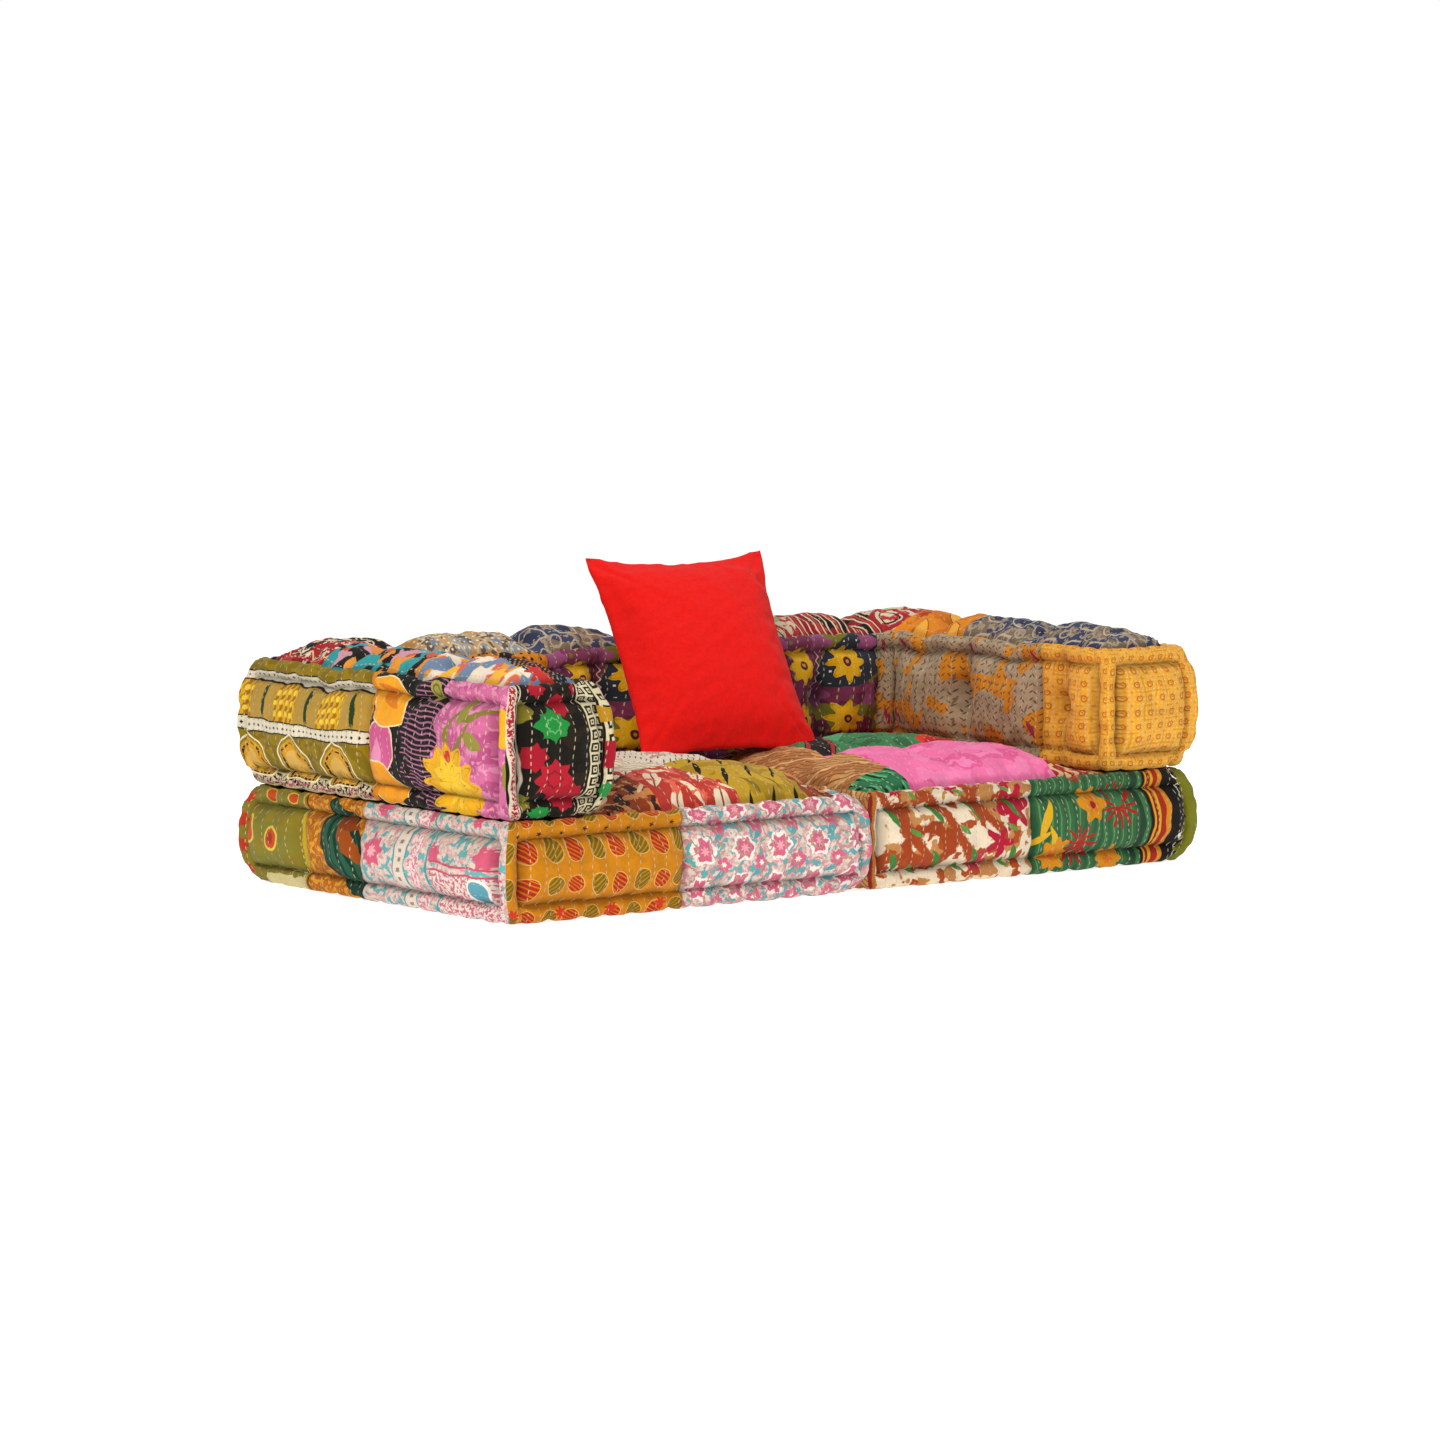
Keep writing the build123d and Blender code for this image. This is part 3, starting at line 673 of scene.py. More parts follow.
def figure(cloth, where, shape, size, at=(0, 0), every=None, wide=1.0, turn=0, lean=0, ragged=0.0, soft=1.0,
           petals=8, depth=0.35, rim=None, bend=0.0, share=0.5):
    """The mask of one printed figure, 1 inside it. Lengths are in millimetres on the cloth.

    at is its middle; every sets it out in rows that far apart across and up; lean turns the rows, turn each
    figure; wide is its height to its width; rim prints its outline alone, that thick; soft blurs its edge by
    so many millimetres and ragged roughens it; petals counts a flower's petals or gives a wave's length;
    depth cuts the petals in; bend is how far a wave swings; share is how much of the cloth blotches take."""
    place = add(cloth, "Mapping", {"Vector": where, "Location": (*at, 0, 0)[:3],
                                   "Rotation": (0, 0, math.radians(lean))}, vector_type="TEXTURE")
    if every:
        across, up = (*every, ENDLESS)[:2]
        half = (across / 2, up / 2, 1)
        place = add(cloth, "VectorMath", {0: place, 1: half, 2: [-h for h in half]}, operation="WRAP")
    place = add(cloth, "Mapping", {"Vector": place, "Rotation": (0, 0, math.radians(turn)),
                                   "Scale": (size, size * wide, 1)}, vector_type="TEXTURE")
    if shape == "blot":
        cloud = add(cloth, "TexNoise", {"Vector": place, "Scale": 1.0, "Detail": 2.0}, noise_dimensions="2D")
        thick = 1 + BLOT_EDGE * (BLOT_LEVEL - BLOT_SHARE * share)
        reach = add(cloth, "Math", {0: cloud, 1: -BLOT_EDGE, 2: thick}, operation="MULTIPLY_ADD")
    elif shape in ("spot", "petals"):
        reach = add(cloth, "VectorMath", {0: place}, out="Value", operation="LENGTH")
        if shape == "petals":
            parts = add(cloth, "SeparateXYZ", {0: place}).node.outputs
            angle = add(cloth, "Math", {0: parts[1], 1: parts[0]}, operation="ARCTAN2")
            angle = add(cloth, "Math", {0: angle, 1: petals}, operation="MULTIPLY")
            angle = add(cloth, "Math", {0: angle}, operation="COSINE")
            edge = add(cloth, "Math", {0: angle, 1: depth / 2, 2: 1 - depth / 2}, operation="MULTIPLY_ADD")
            reach = add(cloth, "Math", {0: reach, 1: edge}, operation="DIVIDE")
    else:
        bent = place
        if shape == "wave":
            parts = add(cloth, "SeparateXYZ", {0: where}).node.outputs
            swing = add(cloth, "Math", {0: parts[0 if turn else 1], 1: 2 * math.pi / petals},
                        operation="MULTIPLY")
            swing = add(cloth, "Math", {0: swing}, operation="SINE")
            swing = add(cloth, "CombineXYZ", {0: swing})
            bent = add(cloth, "VectorMath", {0: swing, 1: (bend / size, 0, 0), 2: place},
                       operation="MULTIPLY_ADD")
        bent = add(cloth, "VectorMath", {0: bent}, operation="ABSOLUTE")
        parts = add(cloth, "SeparateXYZ", {0: bent}).node.outputs
        if shape in ("stripe", "wave"):
            reach = parts[0]
        elif shape in ("square", "star"):
            reach = add(cloth, "Math", {0: parts[0], 1: parts[1]}, operation="MAXIMUM")
            if shape == "star":
                slant = add(cloth, "Math", {0: parts[0], 1: parts[1]}, operation="ADD")
                reach = add(cloth, "Math", {0: reach, 1: 1 / STAR_POINT}, operation="MULTIPLY")
                reach = add(cloth, "Math", {0: reach, 1: slant}, operation="MINIMUM")
        elif shape == "leaf":
            reach = add(cloth, "Math", {0: parts[0], 1: parts[0], 2: parts[1]}, operation="MULTIPLY_ADD")
        elif shape == "arch":
            upright = add(cloth, "SeparateXYZ", {0: place}).node.outputs[1]
            above = add(cloth, "Math", {0: upright, 1: 0.0}, operation="MAXIMUM")
            reach = add(cloth, "Math", {0: parts[0], 1: ARCH_WIDE}, operation="MULTIPLY")
            reach = add(cloth, "Math", {0: above, 1: above, 2: reach}, operation="MULTIPLY_ADD")
            below = add(cloth, "Math", {0: upright, 1: -ARCH_FOOT}, operation="MULTIPLY")
            reach = add(cloth, "Math", {0: reach, 1: below, 2: ARCH_ROUND}, operation="SMOOTH_MAX")
    if ragged:
        cloud = add(cloth, "TexNoise", {"Vector": where, "Scale": ROUGHNESS / size, "Detail": 2.0},
                    noise_dimensions="2D")
        reach = add(cloth, "Math", {0: cloud, 1: ragged, 2: reach}, operation="MULTIPLY_ADD")
        reach = add(cloth, "Math", {0: reach, 1: ragged / 2}, operation="SUBTRACT")
    blur = BLOT_BLUR * soft if shape == "blot" else soft / size
    if rim:
        reach = add(cloth, "Math", {0: reach, 1: 1.0}, operation="SUBTRACT")
        reach = add(cloth, "Math", {0: reach}, operation="ABSOLUTE")
        reach = add(cloth, "Math", {0: reach, 1: size / rim}, operation="MULTIPLY")
        blur = soft / rim
    inside, outside = 1 - min(blur, MOST_BLUR) / 2, 1 + blur / 2
    return add(cloth, "MapRange", {"Value": reach, "From Min": inside, "From Max": outside, "To Min": 1.0,
                                   "To Max": 0.0}, interpolation_type="SMOOTHSTEP")


def printed(cloth, where, ground, layers):
    """The print: each layer is a colour and the figures that it fills where they all overlap."""
    colour = linear(ground)
    for shade, figures in layers:
        mask = None
        for words in figures:
            here = figure(cloth, where, **words)
            mask = here if mask is None else add(cloth, "Math", {0: mask, 1: here}, operation="MULTIPLY")
        colour = add(cloth, "Mix", {0: mask, 6: colour, 7: linear(shade)}, out=2, data_type="RGBA")
    return colour


# Hand block printing: the figures stray by 4.5 mm at most and mostly under 2, in bends about 48 mm long
STRAY, STRAY_LENGTH = 4.5, 48
# Fading: clouds of 40 mm, and streaks of the slub, which is drawn at about 1 mm by 8 mm
CLOUD, SLUB_WIDE, SLUB_TALL, SLUB_SHADE, FULL_DYE = 40, 0.9, 0.12, 0.2, 0.9
# Painted shade takes this much of the colour where the thread draws the cloth in
PAINTED_SHADE_DEPTH = 0.5
# Running stitch: 4.4 mm dashes every 11 mm in rows 22 mm apart, drawn 1.1 mm wide so that the thread shows
ROW_APART, STITCH_APART, STITCH_HALF, THREAD_HALF, ROW_WANDER, WANDER_LENGTH = 22, 11, 2.2, 0.55, 9.0, 55
THREAD = "C4B89F"
# Relief, as heights of the slub: a stitch, and the creases of washing about every 13 mm
STITCH_RELIEF, CREASE_RELIEF, CREASE_LENGTH = 1.5, 2.2, 13
# Roughness: dry cotton, a little drier where the clouds of fading lie
ROUGH_LEAST, ROUGH_MORE = 0.74, 0.2


def quilted_cotton(name, ground, layers, along=False, shine=0.06, stitches=True, fading=0.34):
    """Worn, printed sari cotton in layers, quilted by hand with rows of running stitch.

    Matt, with the soft bloom of much-washed cotton; the dyes are a little faded in clouds, and shade is
    painted darker into the seams, pinches and tufts."""
    material = bpy.data.materials.new(name)
    material.use_nodes = True
    cloth = material.node_tree
    cloth.nodes.clear()
    flat = dict(noise_dimensions="2D")
    place = add(cloth, "VectorMath", {0: add(cloth, "UVMap", uv_map="cut"), "Scale": 1 / MILLIMETRE},
                operation="SCALE")
    stray = add(cloth, "TexNoise", {"Vector": place, "Scale": 1 / STRAY_LENGTH, "Detail": 1.0}, out="Color",
                **flat)
    print_at = add(cloth, "VectorMath", {0: stray, 1: (2 * STRAY, 2 * STRAY, 0), 2: place},
                   operation="MULTIPLY_ADD")
    print_at = add(cloth, "VectorMath", {0: print_at, 1: (STRAY, STRAY, 0)}, operation="SUBTRACT")
    colour = printed(cloth, print_at, ground, layers)
    clouds = add(cloth, "TexNoise", {"Vector": place, "Scale": 1 / CLOUD, "Detail": 3.0}, **flat)
    slub_at = add(cloth, "Mapping", {"Vector": place, "Scale": (SLUB_WIDE, SLUB_TALL, 1)})
    slub = add(cloth, "TexNoise", {"Vector": slub_at, "Scale": 1.0, "Detail": 1.0}, **flat)
    worn = add(cloth, "Math", {0: clouds, 1: fading, 2: FULL_DYE - fading / 2}, operation="MULTIPLY_ADD")
    worn = add(cloth, "Math", {0: slub, 1: SLUB_SHADE, 2: worn}, operation="MULTIPLY_ADD")
    # Painted shade: the faded dye is darkened further where the cover's layer of painted seam shade is high,
    # so from here worn holds both fading and painted shade
    painted_darkening = add(cloth, "Attribute", out="Fac", attribute_name="gathered")
    painted_darkening = add(cloth, "Math", {0: painted_darkening, 1: -PAINTED_SHADE_DEPTH, 2: 1.0}, operation="MULTIPLY_ADD")
    worn = add(cloth, "Math", {0: worn, 1: painted_darkening}, operation="MULTIPLY")
    colour = add(cloth, "VectorMath", {0: colour, "Scale": worn}, operation="SCALE")
    relief = slub
    if stitches:
        wander = add(cloth, "TexNoise", {"Vector": place, "Scale": 1 / WANDER_LENGTH, "Detail": 0.0}, **flat)
        wander = add(cloth, "Math", {0: wander, 1: ROW_WANDER}, operation="MULTIPLY")
        drift = add(cloth, "CombineXYZ", {0: wander, 1: wander})
        rows_at = add(cloth, "VectorMath", {0: place, 1: drift}, operation="ADD")
        spacing, half = (ROW_APART, STITCH_APART), (THREAD_HALF, STITCH_HALF)
        if along:
            spacing, half = spacing[::-1], half[::-1]
        stitch = figure(cloth, rows_at, "square", half[0], (0, 3), spacing, wide=half[1] / half[0], soft=0.7)
        colour = add(cloth, "Mix", {0: stitch, 6: colour, 7: linear(THREAD)}, out=2, data_type="RGBA")
        relief = add(cloth, "Math", {0: stitch, 1: STITCH_RELIEF, 2: slub}, operation="MULTIPLY_ADD")
    creases = add(cloth, "TexNoise", {"Vector": place, "Scale": 1 / CREASE_LENGTH, "Detail": 4.0,
                                      "Roughness": 0.6}, **flat)
    relief = add(cloth, "Math", {0: creases, 1: CREASE_RELIEF, 2: relief}, operation="MULTIPLY_ADD")
    bump = add(cloth, "Bump", {"Strength": 0.42, "Distance": 0.0011, "Height": relief})
    dry = add(cloth, "Math", {0: clouds, 1: ROUGH_MORE, 2: ROUGH_LEAST}, operation="MULTIPLY_ADD")
    shader = add(cloth, "BsdfPrincipled", {"Base Color": colour, "Roughness": dry, "Normal": bump,
                                           "Specular IOR Level": 0.14, "Sheen Weight": shine,
                                           "Sheen Roughness": 0.5})
    add(cloth, "OutputMaterial", {"Surface": shader})
    return material


# The prints. A line without an indent is a cloth and its ground colour. Each line under it is a layer: its
# colour, then the figures that it fills where they all overlap. Each is a shape, its size and figure's words.
# A layer goes on in the next line after a plus sign. The last three cloths are plain, with no stitches.
PRINTS = """
mustard_ovals C98110
  BE7B0D blot 22 share 0.4
  DDB56A spot 15.6 at 38 57 every 80 55 wide 1.1
  CB7A12 spot 14.4 at 38 57 every 80 55 wide 1.1
  AE2A14 spot 14.4 at 38 57 every 80 55 wide 1.1 + stripe 2.1 every 6 lean 55
  DDB56A spot 15.6 at 80 57 every 80 55 wide 1.1
  B98318 spot 14.4 at 80 57 every 80 55 wide 1.1
  76610F spot 14.4 at 80 57 every 80 55 wide 1.1 + stripe 2.1 every 6 lean -48
  3A2410 petals 4.5 at 20 138 every 42 400 petals 5 depth 0.6
  C8381C petals 12 at 40 172 every 93 400 petals 7 depth 0.5 ragged 0.5
  C8381C petals 12 at 8 12 every 93 400 petals 7 depth 0.5 ragged 0.5
blossom DCCEC4
  C9B3A4 blot 9 share 0.35
  D98FA0 blot 7 share 0.2
  62A7AE blot 13 share 0.26
  EFE7E1 petals 23 at 30 30 every 74 62 petals 6 depth 0.15 ragged 0.5
  CF6482 petals 18 at 30 30 every 74 62 petals 6 depth 0.3 ragged 1
  E7A3B1 petals 8 at 30 30 every 74 62 petals 7 depth 0.5
  5A9FA8 leaf 17 at 62 52 every 74 62 wide 0.3 turn 40
  CF6482 petals 15 at 66 4 every 74 62 petals 5 depth 0.3 ragged 1
  EFE7E1 petals 5 at 66 4 every 74 62 petals 6 depth 0.4
  B88C84 spot 13 at 5 12 every 49 41 rim 1.5 ragged 0.8
blossom_bands DBCDC4
  CDB4AA blot 8 share 0.35
  DB93A4 blot 7 share 0.22
  66ABB2 blot 14 share 0.24
  CF5C7C petals 27 at 60 88 petals 7 depth 0.25 ragged 0.9
  E9A5B5 petals 11 at 60 88 petals 8
  CF5C7C petals 20 at 60 160 every 128 210 petals 6 depth 0.25 ragged 0.9
  CF5C7C petals 19 at 222 98 petals 6 depth 0.25 ragged 0.9
  CF5C7C petals 20 at 350 100 petals 6 depth 0.25 ragged 0.9
  DDD2C8 stripe 13 at 133
  8F7F78 stripe 13 at 133 + square 3.2 at 133 4 every 22 15
  E9D3D2 stripe 13 at 170
  C98093 stripe 13 at 170 + blot 6 share 0.45
  4D98A0 stripe 1.6 at 119
  4D98A0 stripe 1.6 at 147
  4D98A0 stripe 2.4 at 206
  E4D8D2 square 88 at 300 33 wide 0.44
  C46A80 square 88 at 300 33 wide 0.44 + blot 6 share 0.42
  C4506C stripe 1.7 at 0 84 turn 90 + square 88 at 300 80 wide 0.3
  C4506C stripe 1.7 at 0 72 turn 90 + square 88 at 300 80 wide 0.3
  F0E8E2 spot 23 at 336 47
  57A0B4 spot 19 at 336 47
rust_dyed E3D5BC
  B9814A blot 34 share 0.3
  A4481B blot 30 share 0.14
  9C3E14 spot 42 at 118 66 wide 0.72 rim 13 ragged 0.7 soft 6
  A1431A stripe 9 at 60 120 every 70 lean 38 ragged 1.2 soft 4 + square 150 at 130 104 wide 0.5
  B01535 petals 38 at 300 118 petals 6 depth 0.6 ragged 0.8 soft 3
  B01535 petals 30 at 262 64 petals 5 depth 0.6 ragged 0.8 soft 3
  C0284A petals 22 at 226 34 petals 6 depth 0.6 ragged 0.7 soft 3
  B01535 petals 14 at 60 162 every 116 400 petals 5 depth 0.5 ragged 0.7 soft 3
  3F7F3A leaf 20 at 52 118 every 82 74 wide 0.26 turn -60 ragged 0.4 soft 2
  5B8E42 leaf 14 at 190 90 every 97 61 wide 0.3 turn -35 ragged 0.4 soft 2
  B06A20 stripe 10 at 8 ragged 0.6 soft 3
  7E1D14 stripe 7 at 2 ragged 0.6 soft 3
green_marigold 35673F
  2C5C3C stripe 3 at 4 every 19
  56905A stripe 1.2 at 12 every 19
  DDAE1C leaf 34 at 22 92 wide 0.2 turn 70
  DDAE1C leaf 26 at 36 60 wide 0.2 turn 110
  DDAE1C leaf 22 at 12 60 wide 0.22 turn 40
  A5231B petals 40 at 178 108 petals 13 depth 0.85
  3C7548 spot 14 at 178 122
  A5231B petals 38 at 92 44 petals 11 depth 0.85
  A5231B petals 18 at 100 168 every 130 400 petals 9 depth 0.8
  D08A12 petals 32 at 118 112 petals 6 depth 0.32
  D2701A petals 14 at 118 112 petals 6 depth 0.5
  8E1E14 spot 6 at 118 112
  D08A12 petals 32 at 44 30 petals 8 depth 0.3
  D2701A petals 13 at 44 30 petals 6 depth 0.5
  D08A12 petals 30 at 168 14 petals 8 depth 0.3
  D2701A petals 11 at 168 14 petals 6 depth 0.5
  23432E stripe 14 at 232
  3C7548 stripe 5 at 236
  8E1E14 stripe 12 at 256
  D9A51E stripe 2 at 252
  141310 stripe 2.6 at 246
  D9A51E stripe 2.6 at 263
  A32A1A stripe 6 at 272
  D2871C stripe 5 at 281
  141310 stripe 36 at 322
  E9E4D6 stripe 35 at 352 rim 1.8 ragged 1.1
  75761F stripe 31 at 352 ragged 1.1
olive_ovals 857824
  7C7A2E blot 30 share 0.4
  D1B52D stripe 3 at 176 every 180 ragged 2.5
  D8C44A spot 15 at 78 148 wide 1.1
  C24A1E spot 12.5 at 78 148 wide 1.1
  D8C44A spot 19 at 45 90 wide 1.25
  C24A1E spot 15.5 at 45 90 wide 1.25
  D8C44A spot 18 at 108 80 wide 1.25
  C24A1E spot 14 at 108 80 wide 1.25
  9F3414 spot 7 at 108 80 wide 1.4
  D8C44A spot 13 at 140 148
  C24A1E spot 10 at 140 148
  B8371B petals 14 at 10 20 every 400 40 petals 7 depth 0.4 ragged 0.5
  DAD3B8 spot 20 at 150 20 rim 1.7 wide 0.6 ragged 1
  CFC591 square 60 at 120 2 wide 0.25 ragged 0.8
rust_leaf B86E12
  A7620F blot 15 share 0.5
  D99A2C blot 11 share 0.25
  12342A leaf 100 at 122 78 wide 0.44 turn -62 ragged 0.35
  225A44 leaf 96 at 122 78 wide 0.38 turn -62 ragged 0.35 + stripe 4.5 every 15 lean 20 ragged 0.5
  9A4A16 leaf 46 at 142 88 wide 0.26 turn -50 ragged 0.8
  7E3A12 leaf 30 at 128 120 wide 0.3 turn -10 ragged 0.8
  12342A stripe 1.6 at 6 ragged 1.5
  12342A spot 34 at 160 8 wide 0.5
ikat_olive 8A7410
  78640E blot 25 share 0.4
  D9D2BE stripe 8 at 0 177 turn 90
  D9D2BE stripe 9 at 0 100 turn 90
  C9BE9C stripe 15 at 0 10 turn 90
  17130F stripe 7 at 0 177 turn 90 + petals 2.6 at 3 177 every 12 9 petals 4 ragged 1
  17130F stripe 8 at 0 100 turn 90 + petals 2.6 at 3 100 every 12 9 petals 4 ragged 1
  17130F stripe 11 at 0 12 turn 90 + blot 6 share 0.42
  B4536A stripe 7 at 0 6 turn 90 + blot 9 share 0.2
  17130F stripe 1.2 at 0 168 turn 90
  17130F stripe 1.2 at 0 186 turn 90
  17130F stripe 1.2 at 0 90.5 turn 90
  17130F stripe 1.2 at 0 110 turn 90
  AE8C3C stripe 28 at 0 139 turn 90 + stripe 34 at 87 every 124
  EDE3C0 stripe 28 at 0 139 turn 90 + stripe 1.5 at 3 every 12 + square 60 at 87 every 124 +
    square 2.6 at 0 3 every 999 7
  223A1C square 4.4 at 87 139 every 124 wide 5.6 ragged 0.8
  D2A11A stripe 28 at 0 139 turn 90 + stripe 29 at 25 every 124
  9A6A12 stripe 28 at 0 139 turn 90 + stripe 29 at 25 every 124 +
    wave 4 at 3 every 15 petals 17 bend 3 soft 2
  E6C63A stripe 28 at 0 139 turn 90 + stripe 29 at 25 every 124 + spot 4.5 at 3 139 every 15 17 soft 3
  E8DDB6 arch 43 at 40 50 every 124 400
  8A7410 arch 40 at 40 50 every 124 400
  C8921E arch 37 at 40 48 every 124 400
  1A160F arch 32 at 40 46 every 124 400 rim 2.6 + square 4 every 11 9
  D3AA50 arch 25 at 40 42 every 124 400
  8A5A14 arch 24 at 40 42 every 124 400 + petals 24 at 40 20 every 124 400 petals 22 depth 0.9
  E8B52A petals 11 at 40 30 every 124 400 petals 9 depth 0.4
peony_pink C9699A
  B65388 blot 26 share 0.4
  D98AB0 blot 14 share 0.2
  151214 square 112 at 92 100 wide 1.6 ragged 0.3
  A4668A wave 1.15 at 0 6 every 999 7.8 turn 90 lean -9 petals 70 bend 2.4 +
    square 62 at 184 92 wide 1.9 ragged 1.3
  E7C9B0 leaf 52 at 52 92 wide 0.86 turn 82
  C9568F leaf 49 at 52 92 wide 0.84 turn 82
  DE8AB4 leaf 30 at 44 78 wide 0.5 turn 80
  E9D9A6 leaf 62 at 60 164 wide 0.66 turn -28
  EBA21E leaf 59 at 60 164 wide 0.64 turn -28
  D87A14 leaf 36 at 54 172 wide 0.3 turn -28
  E9D9A6 leaf 70 at 46 32 wide 0.5 turn -24
  E79A1C leaf 67 at 46 32 wide 0.48 turn -24
  D98512 stripe 11 at 4 ragged 0.8
  151214 leaf 34 at 118 4 wide 0.4
  7F7A2B spot 26 at 262 130 rim 3.2 ragged 0.3 + square 28 at 248 140
  7F7A2B leaf 42 at 300 152 wide 0.16 turn 12
  8F8A3A leaf 24 at 272 158 wide 0.42 turn 66
  8F8A3A leaf 22 at 300 118 wide 0.5 turn -28
  7F7A2B leaf 46 at 268 108 wide 0.11 turn 58
  A29A45 spot 17 at 178 186
  6F6A1F spot 10 at 178 186 rim 1.8
  E0AA12 petals 70 at 240 46 petals 12 depth 0.24 ragged 0.4
  B97F0E petals 66 at 240 46 petals 12 depth 0.7 rim 2.2
  EFC52A petals 42 at 244 52 petals 9 depth 0.3 ragged 0.4
  CC8A10 petals 30 at 244 50 petals 10 depth 0.7 rim 2
  E8B413 leaf 60 at 236 -6 every 800 800 wide 0.25
  C92F1F spot 9 at 242 90
  E0622A spot 4 at 244 86
  E9B01E spot 24 at 360 140 wide 1.2
  8F8A3A spot 12 at 372 70 wide 2
black_stars 16130F
  241C12 blot 40 share 0.3
  7C7420 star 19 at 30.5 164.5 ragged 0.3
  1E8A3C star 28 at 73 142 ragged 0.3
  5CB36A star 12 at 73 142 rim 1.5
  A3162B star 17 at 55.5 200 ragged 0.3
  A3162B star 19 at 95.5 172 ragged 0.3
  A3162B star 21 at 46 97 ragged 0.3
  B01A2E star 33 at 75.5 62 ragged 0.3
  7E1020 star 15 at 75.5 62 rim 1.5
  A3162B star 27 at 105 33 ragged 0.3
  A3162B star 18 at 136 199 ragged 0.3
  7C7420 star 17 at 33 28 ragged 0.3
  1E8A3C star 24 at 62 8 wide 0.5 ragged 0.3
  D8CDA9 stripe 20 at 148 ragged 0.15
  16130F stripe 20 at 148 + square 6.6 at 5 5 every 17 17
  D8CDA9 stripe 20 at 148 + square 3.6 at 5 5 every 17 17
  16130F stripe 20 at 148 + square 1.6 at 5 5 every 17 17
  16130F stripe 2 at 130
  16130F stripe 2.5 at 167
  D8CDA9 stripe 14 at 183
  16130F stripe 14 at 183 + square 7 at 181 6 every 26 22
  D8CDA9 stripe 14 at 183 + square 3 at 181 6 every 26 22
  A3162B square 12 at 180 94 wide 1.7
  B98A1C square 12 at 176 152
  2D8C44 star 14 at 177 40
  D9CDB9 wave 11 at 12 petals 230 bend -4
  A92038 wave 7 at 12 petals 230 bend -4 + blot 5 share 0.62
  16130F wave 2.4 at 24 petals 230 bend -4
  D9CDB9 wave 1.2 at 27.5 petals 230 bend -4
marigold_checks E7A636
  D4921F blot 30 share 0.35
  E5AC42 square 9.4 at 11 11 every 22 22
  DFA034 square 8 at 11 11 every 22 22
  BE6E1C spot 4.2 at 11 11 every 22 22 rim 1.1
  C7401F spot 1.4 at 11 11 every 22 22
  CE8A28 square 1.6 every 22 22
  E8B95F square 1.4 at 3 3 every 7.3 7.3
sprig_beige AC9A7F
  A08F76 blot 26 share 0.4
  C9821F blot 58 at 70 40 share 0.3 soft 0.4
  5E4B3D leaf 4.4 at 3 2 every 15 12 wide 0.26 turn 40 ragged 0.8
  5E4B3D leaf 4.2 at 11 8 every 17 14 wide 0.26 turn -50 ragged 0.8
  7C6A58 leaf 9 at 8 20 every 29 37 wide 0.2 turn 75 ragged 0.5
  9C2B49 leaf 17 at 190 60 every 173 121 wide 0.3 turn -65
plum_marigold 71304F
  5A2440 blot 30 share 0.4
  6B6A22 blot 48 at 30 share 0.32 soft 0.5
  28303C leaf 90 at 190 165 wide 0.5 turn 30 ragged 0.3
  EAE3D2 square 1.6 at 7 4 every 26 19 + leaf 86 at 190 165 wide 0.46 turn 30 ragged 0.3
  D9A912 petals 33 at 66 60 every 98 92 petals 8 depth 0.34 ragged 0.3
  B5830E petals 31 at 66 60 every 98 92 petals 8 depth 0.8 rim 1.6
  4F2331 spot 7.5 at 66 60 every 98 92
  C98A1C spot 3 at 66 60 every 98 92
  8E4A74 petals 24 at 117 8 every 98 92 petals 5 depth 0.3
  E6DFC8 wave 1.1 at 20 every 98 petals 14 bend 3 + square 20 at 118 140 wide 1.6
amber_petals C77B17
  A55F10 blot 40 share 0.4
  22170F leaf 44 at 20 30 every 118 96 wide 0.3 turn 64
  E3A02B leaf 34 at 74 66 every 118 96 wide 0.6 turn -30
  E9C98B leaf 34 at 74 66 every 118 96 wide 0.6 turn -30 rim 1.4
  22170F spot 3 at 2 5 every 16 12 ragged 0.5 + stripe 16 at 0 196 turn 90
  4B2A14 leaf 20 at 96 20 every 118 96 wide 0.2 turn 12
ink_pink_stripes 1A1418
  BE7A9E wave 2.3 every 999 9.5 turn 90 petals 70 bend 5 ragged 0.5
  D79AB6 stripe 12 at 0 190 every 999 160 turn 90
  E4DDD0 square 1.3 every 22 11
houndstooth_medley E7DCC8
  E39A22 blot 52 share 0.42
  D4655C blot 44 at 200 share 0.3
  6D87A8 blot 50 at 90 share 0.2
  161310 leaf 104 at 120 96 wide 0.4 turn 84 + square 3.6 every 10 10
  161310 leaf 104 at 120 96 wide 0.4 turn 84 + square 3.6 at 5 5 every 10 10
  B9302B petals 24 at 96 50 petals 7 ragged 0.5
  E8B33C petals 20 at 44 90 every 110 130 petals 6 ragged 0.4
teal_medley 1B1817
  C895A6 blot 46 share 0.36
  2F9AA2 blot 58 at 60 20 share 0.32
  D98A3C blot 40 at 20 90 share 0.2
  E0922A leaf 36 at 40 80 every 126 118 wide 0.34 turn 40
  2F9AA2 petals 26 at 96 30 every 126 118 petals 5 depth 0.3
  15110F spot 8 at 96 30 every 126 118
  C65B3F spot 9 at 10 14 every 63 59 ragged 0.6
crimson_ink A01B22
  17120F blot 44 share 0.42
  D9CDB9 blot 13 share 0.1
  C8434A petals 20 at 30 26 every 92 84 petals 6 ragged 0.4
  E1B98F wave 1.6 at 8 every 40 petals 34 bend 5
tan_paisley B39470
  8795A3 blot 24 share 0.38
  5E5148 blot 16 share 0.26
  D0B98F arch 22 at 20 24 every 62 70 wide 1.2 rim 2
  B98B46 arch 13 at 20 22 every 62 70 wide 1.2
  6E7F93 petals 11 at 51 58 every 62 70 petals 7 depth 0.5
  E2D5B8 spot 2 at 5 5 every 12 12
navy_paisley 3A4261
  7A6A58 blot 50 share 0.5 soft 0.5
  9A8A78 blot 12 share 0.2
  B9AC97 arch 20 at 20 20 every 66 58 wide 1.2 rim 1.6
  2B3350 arch 12 at 20 18 every 66 58 wide 1.2
  A89C88 spot 9 at 52 48 every 66 58 rim 1.4
orange_leaf DB8419
  C66E12 blot 36 share 0.4
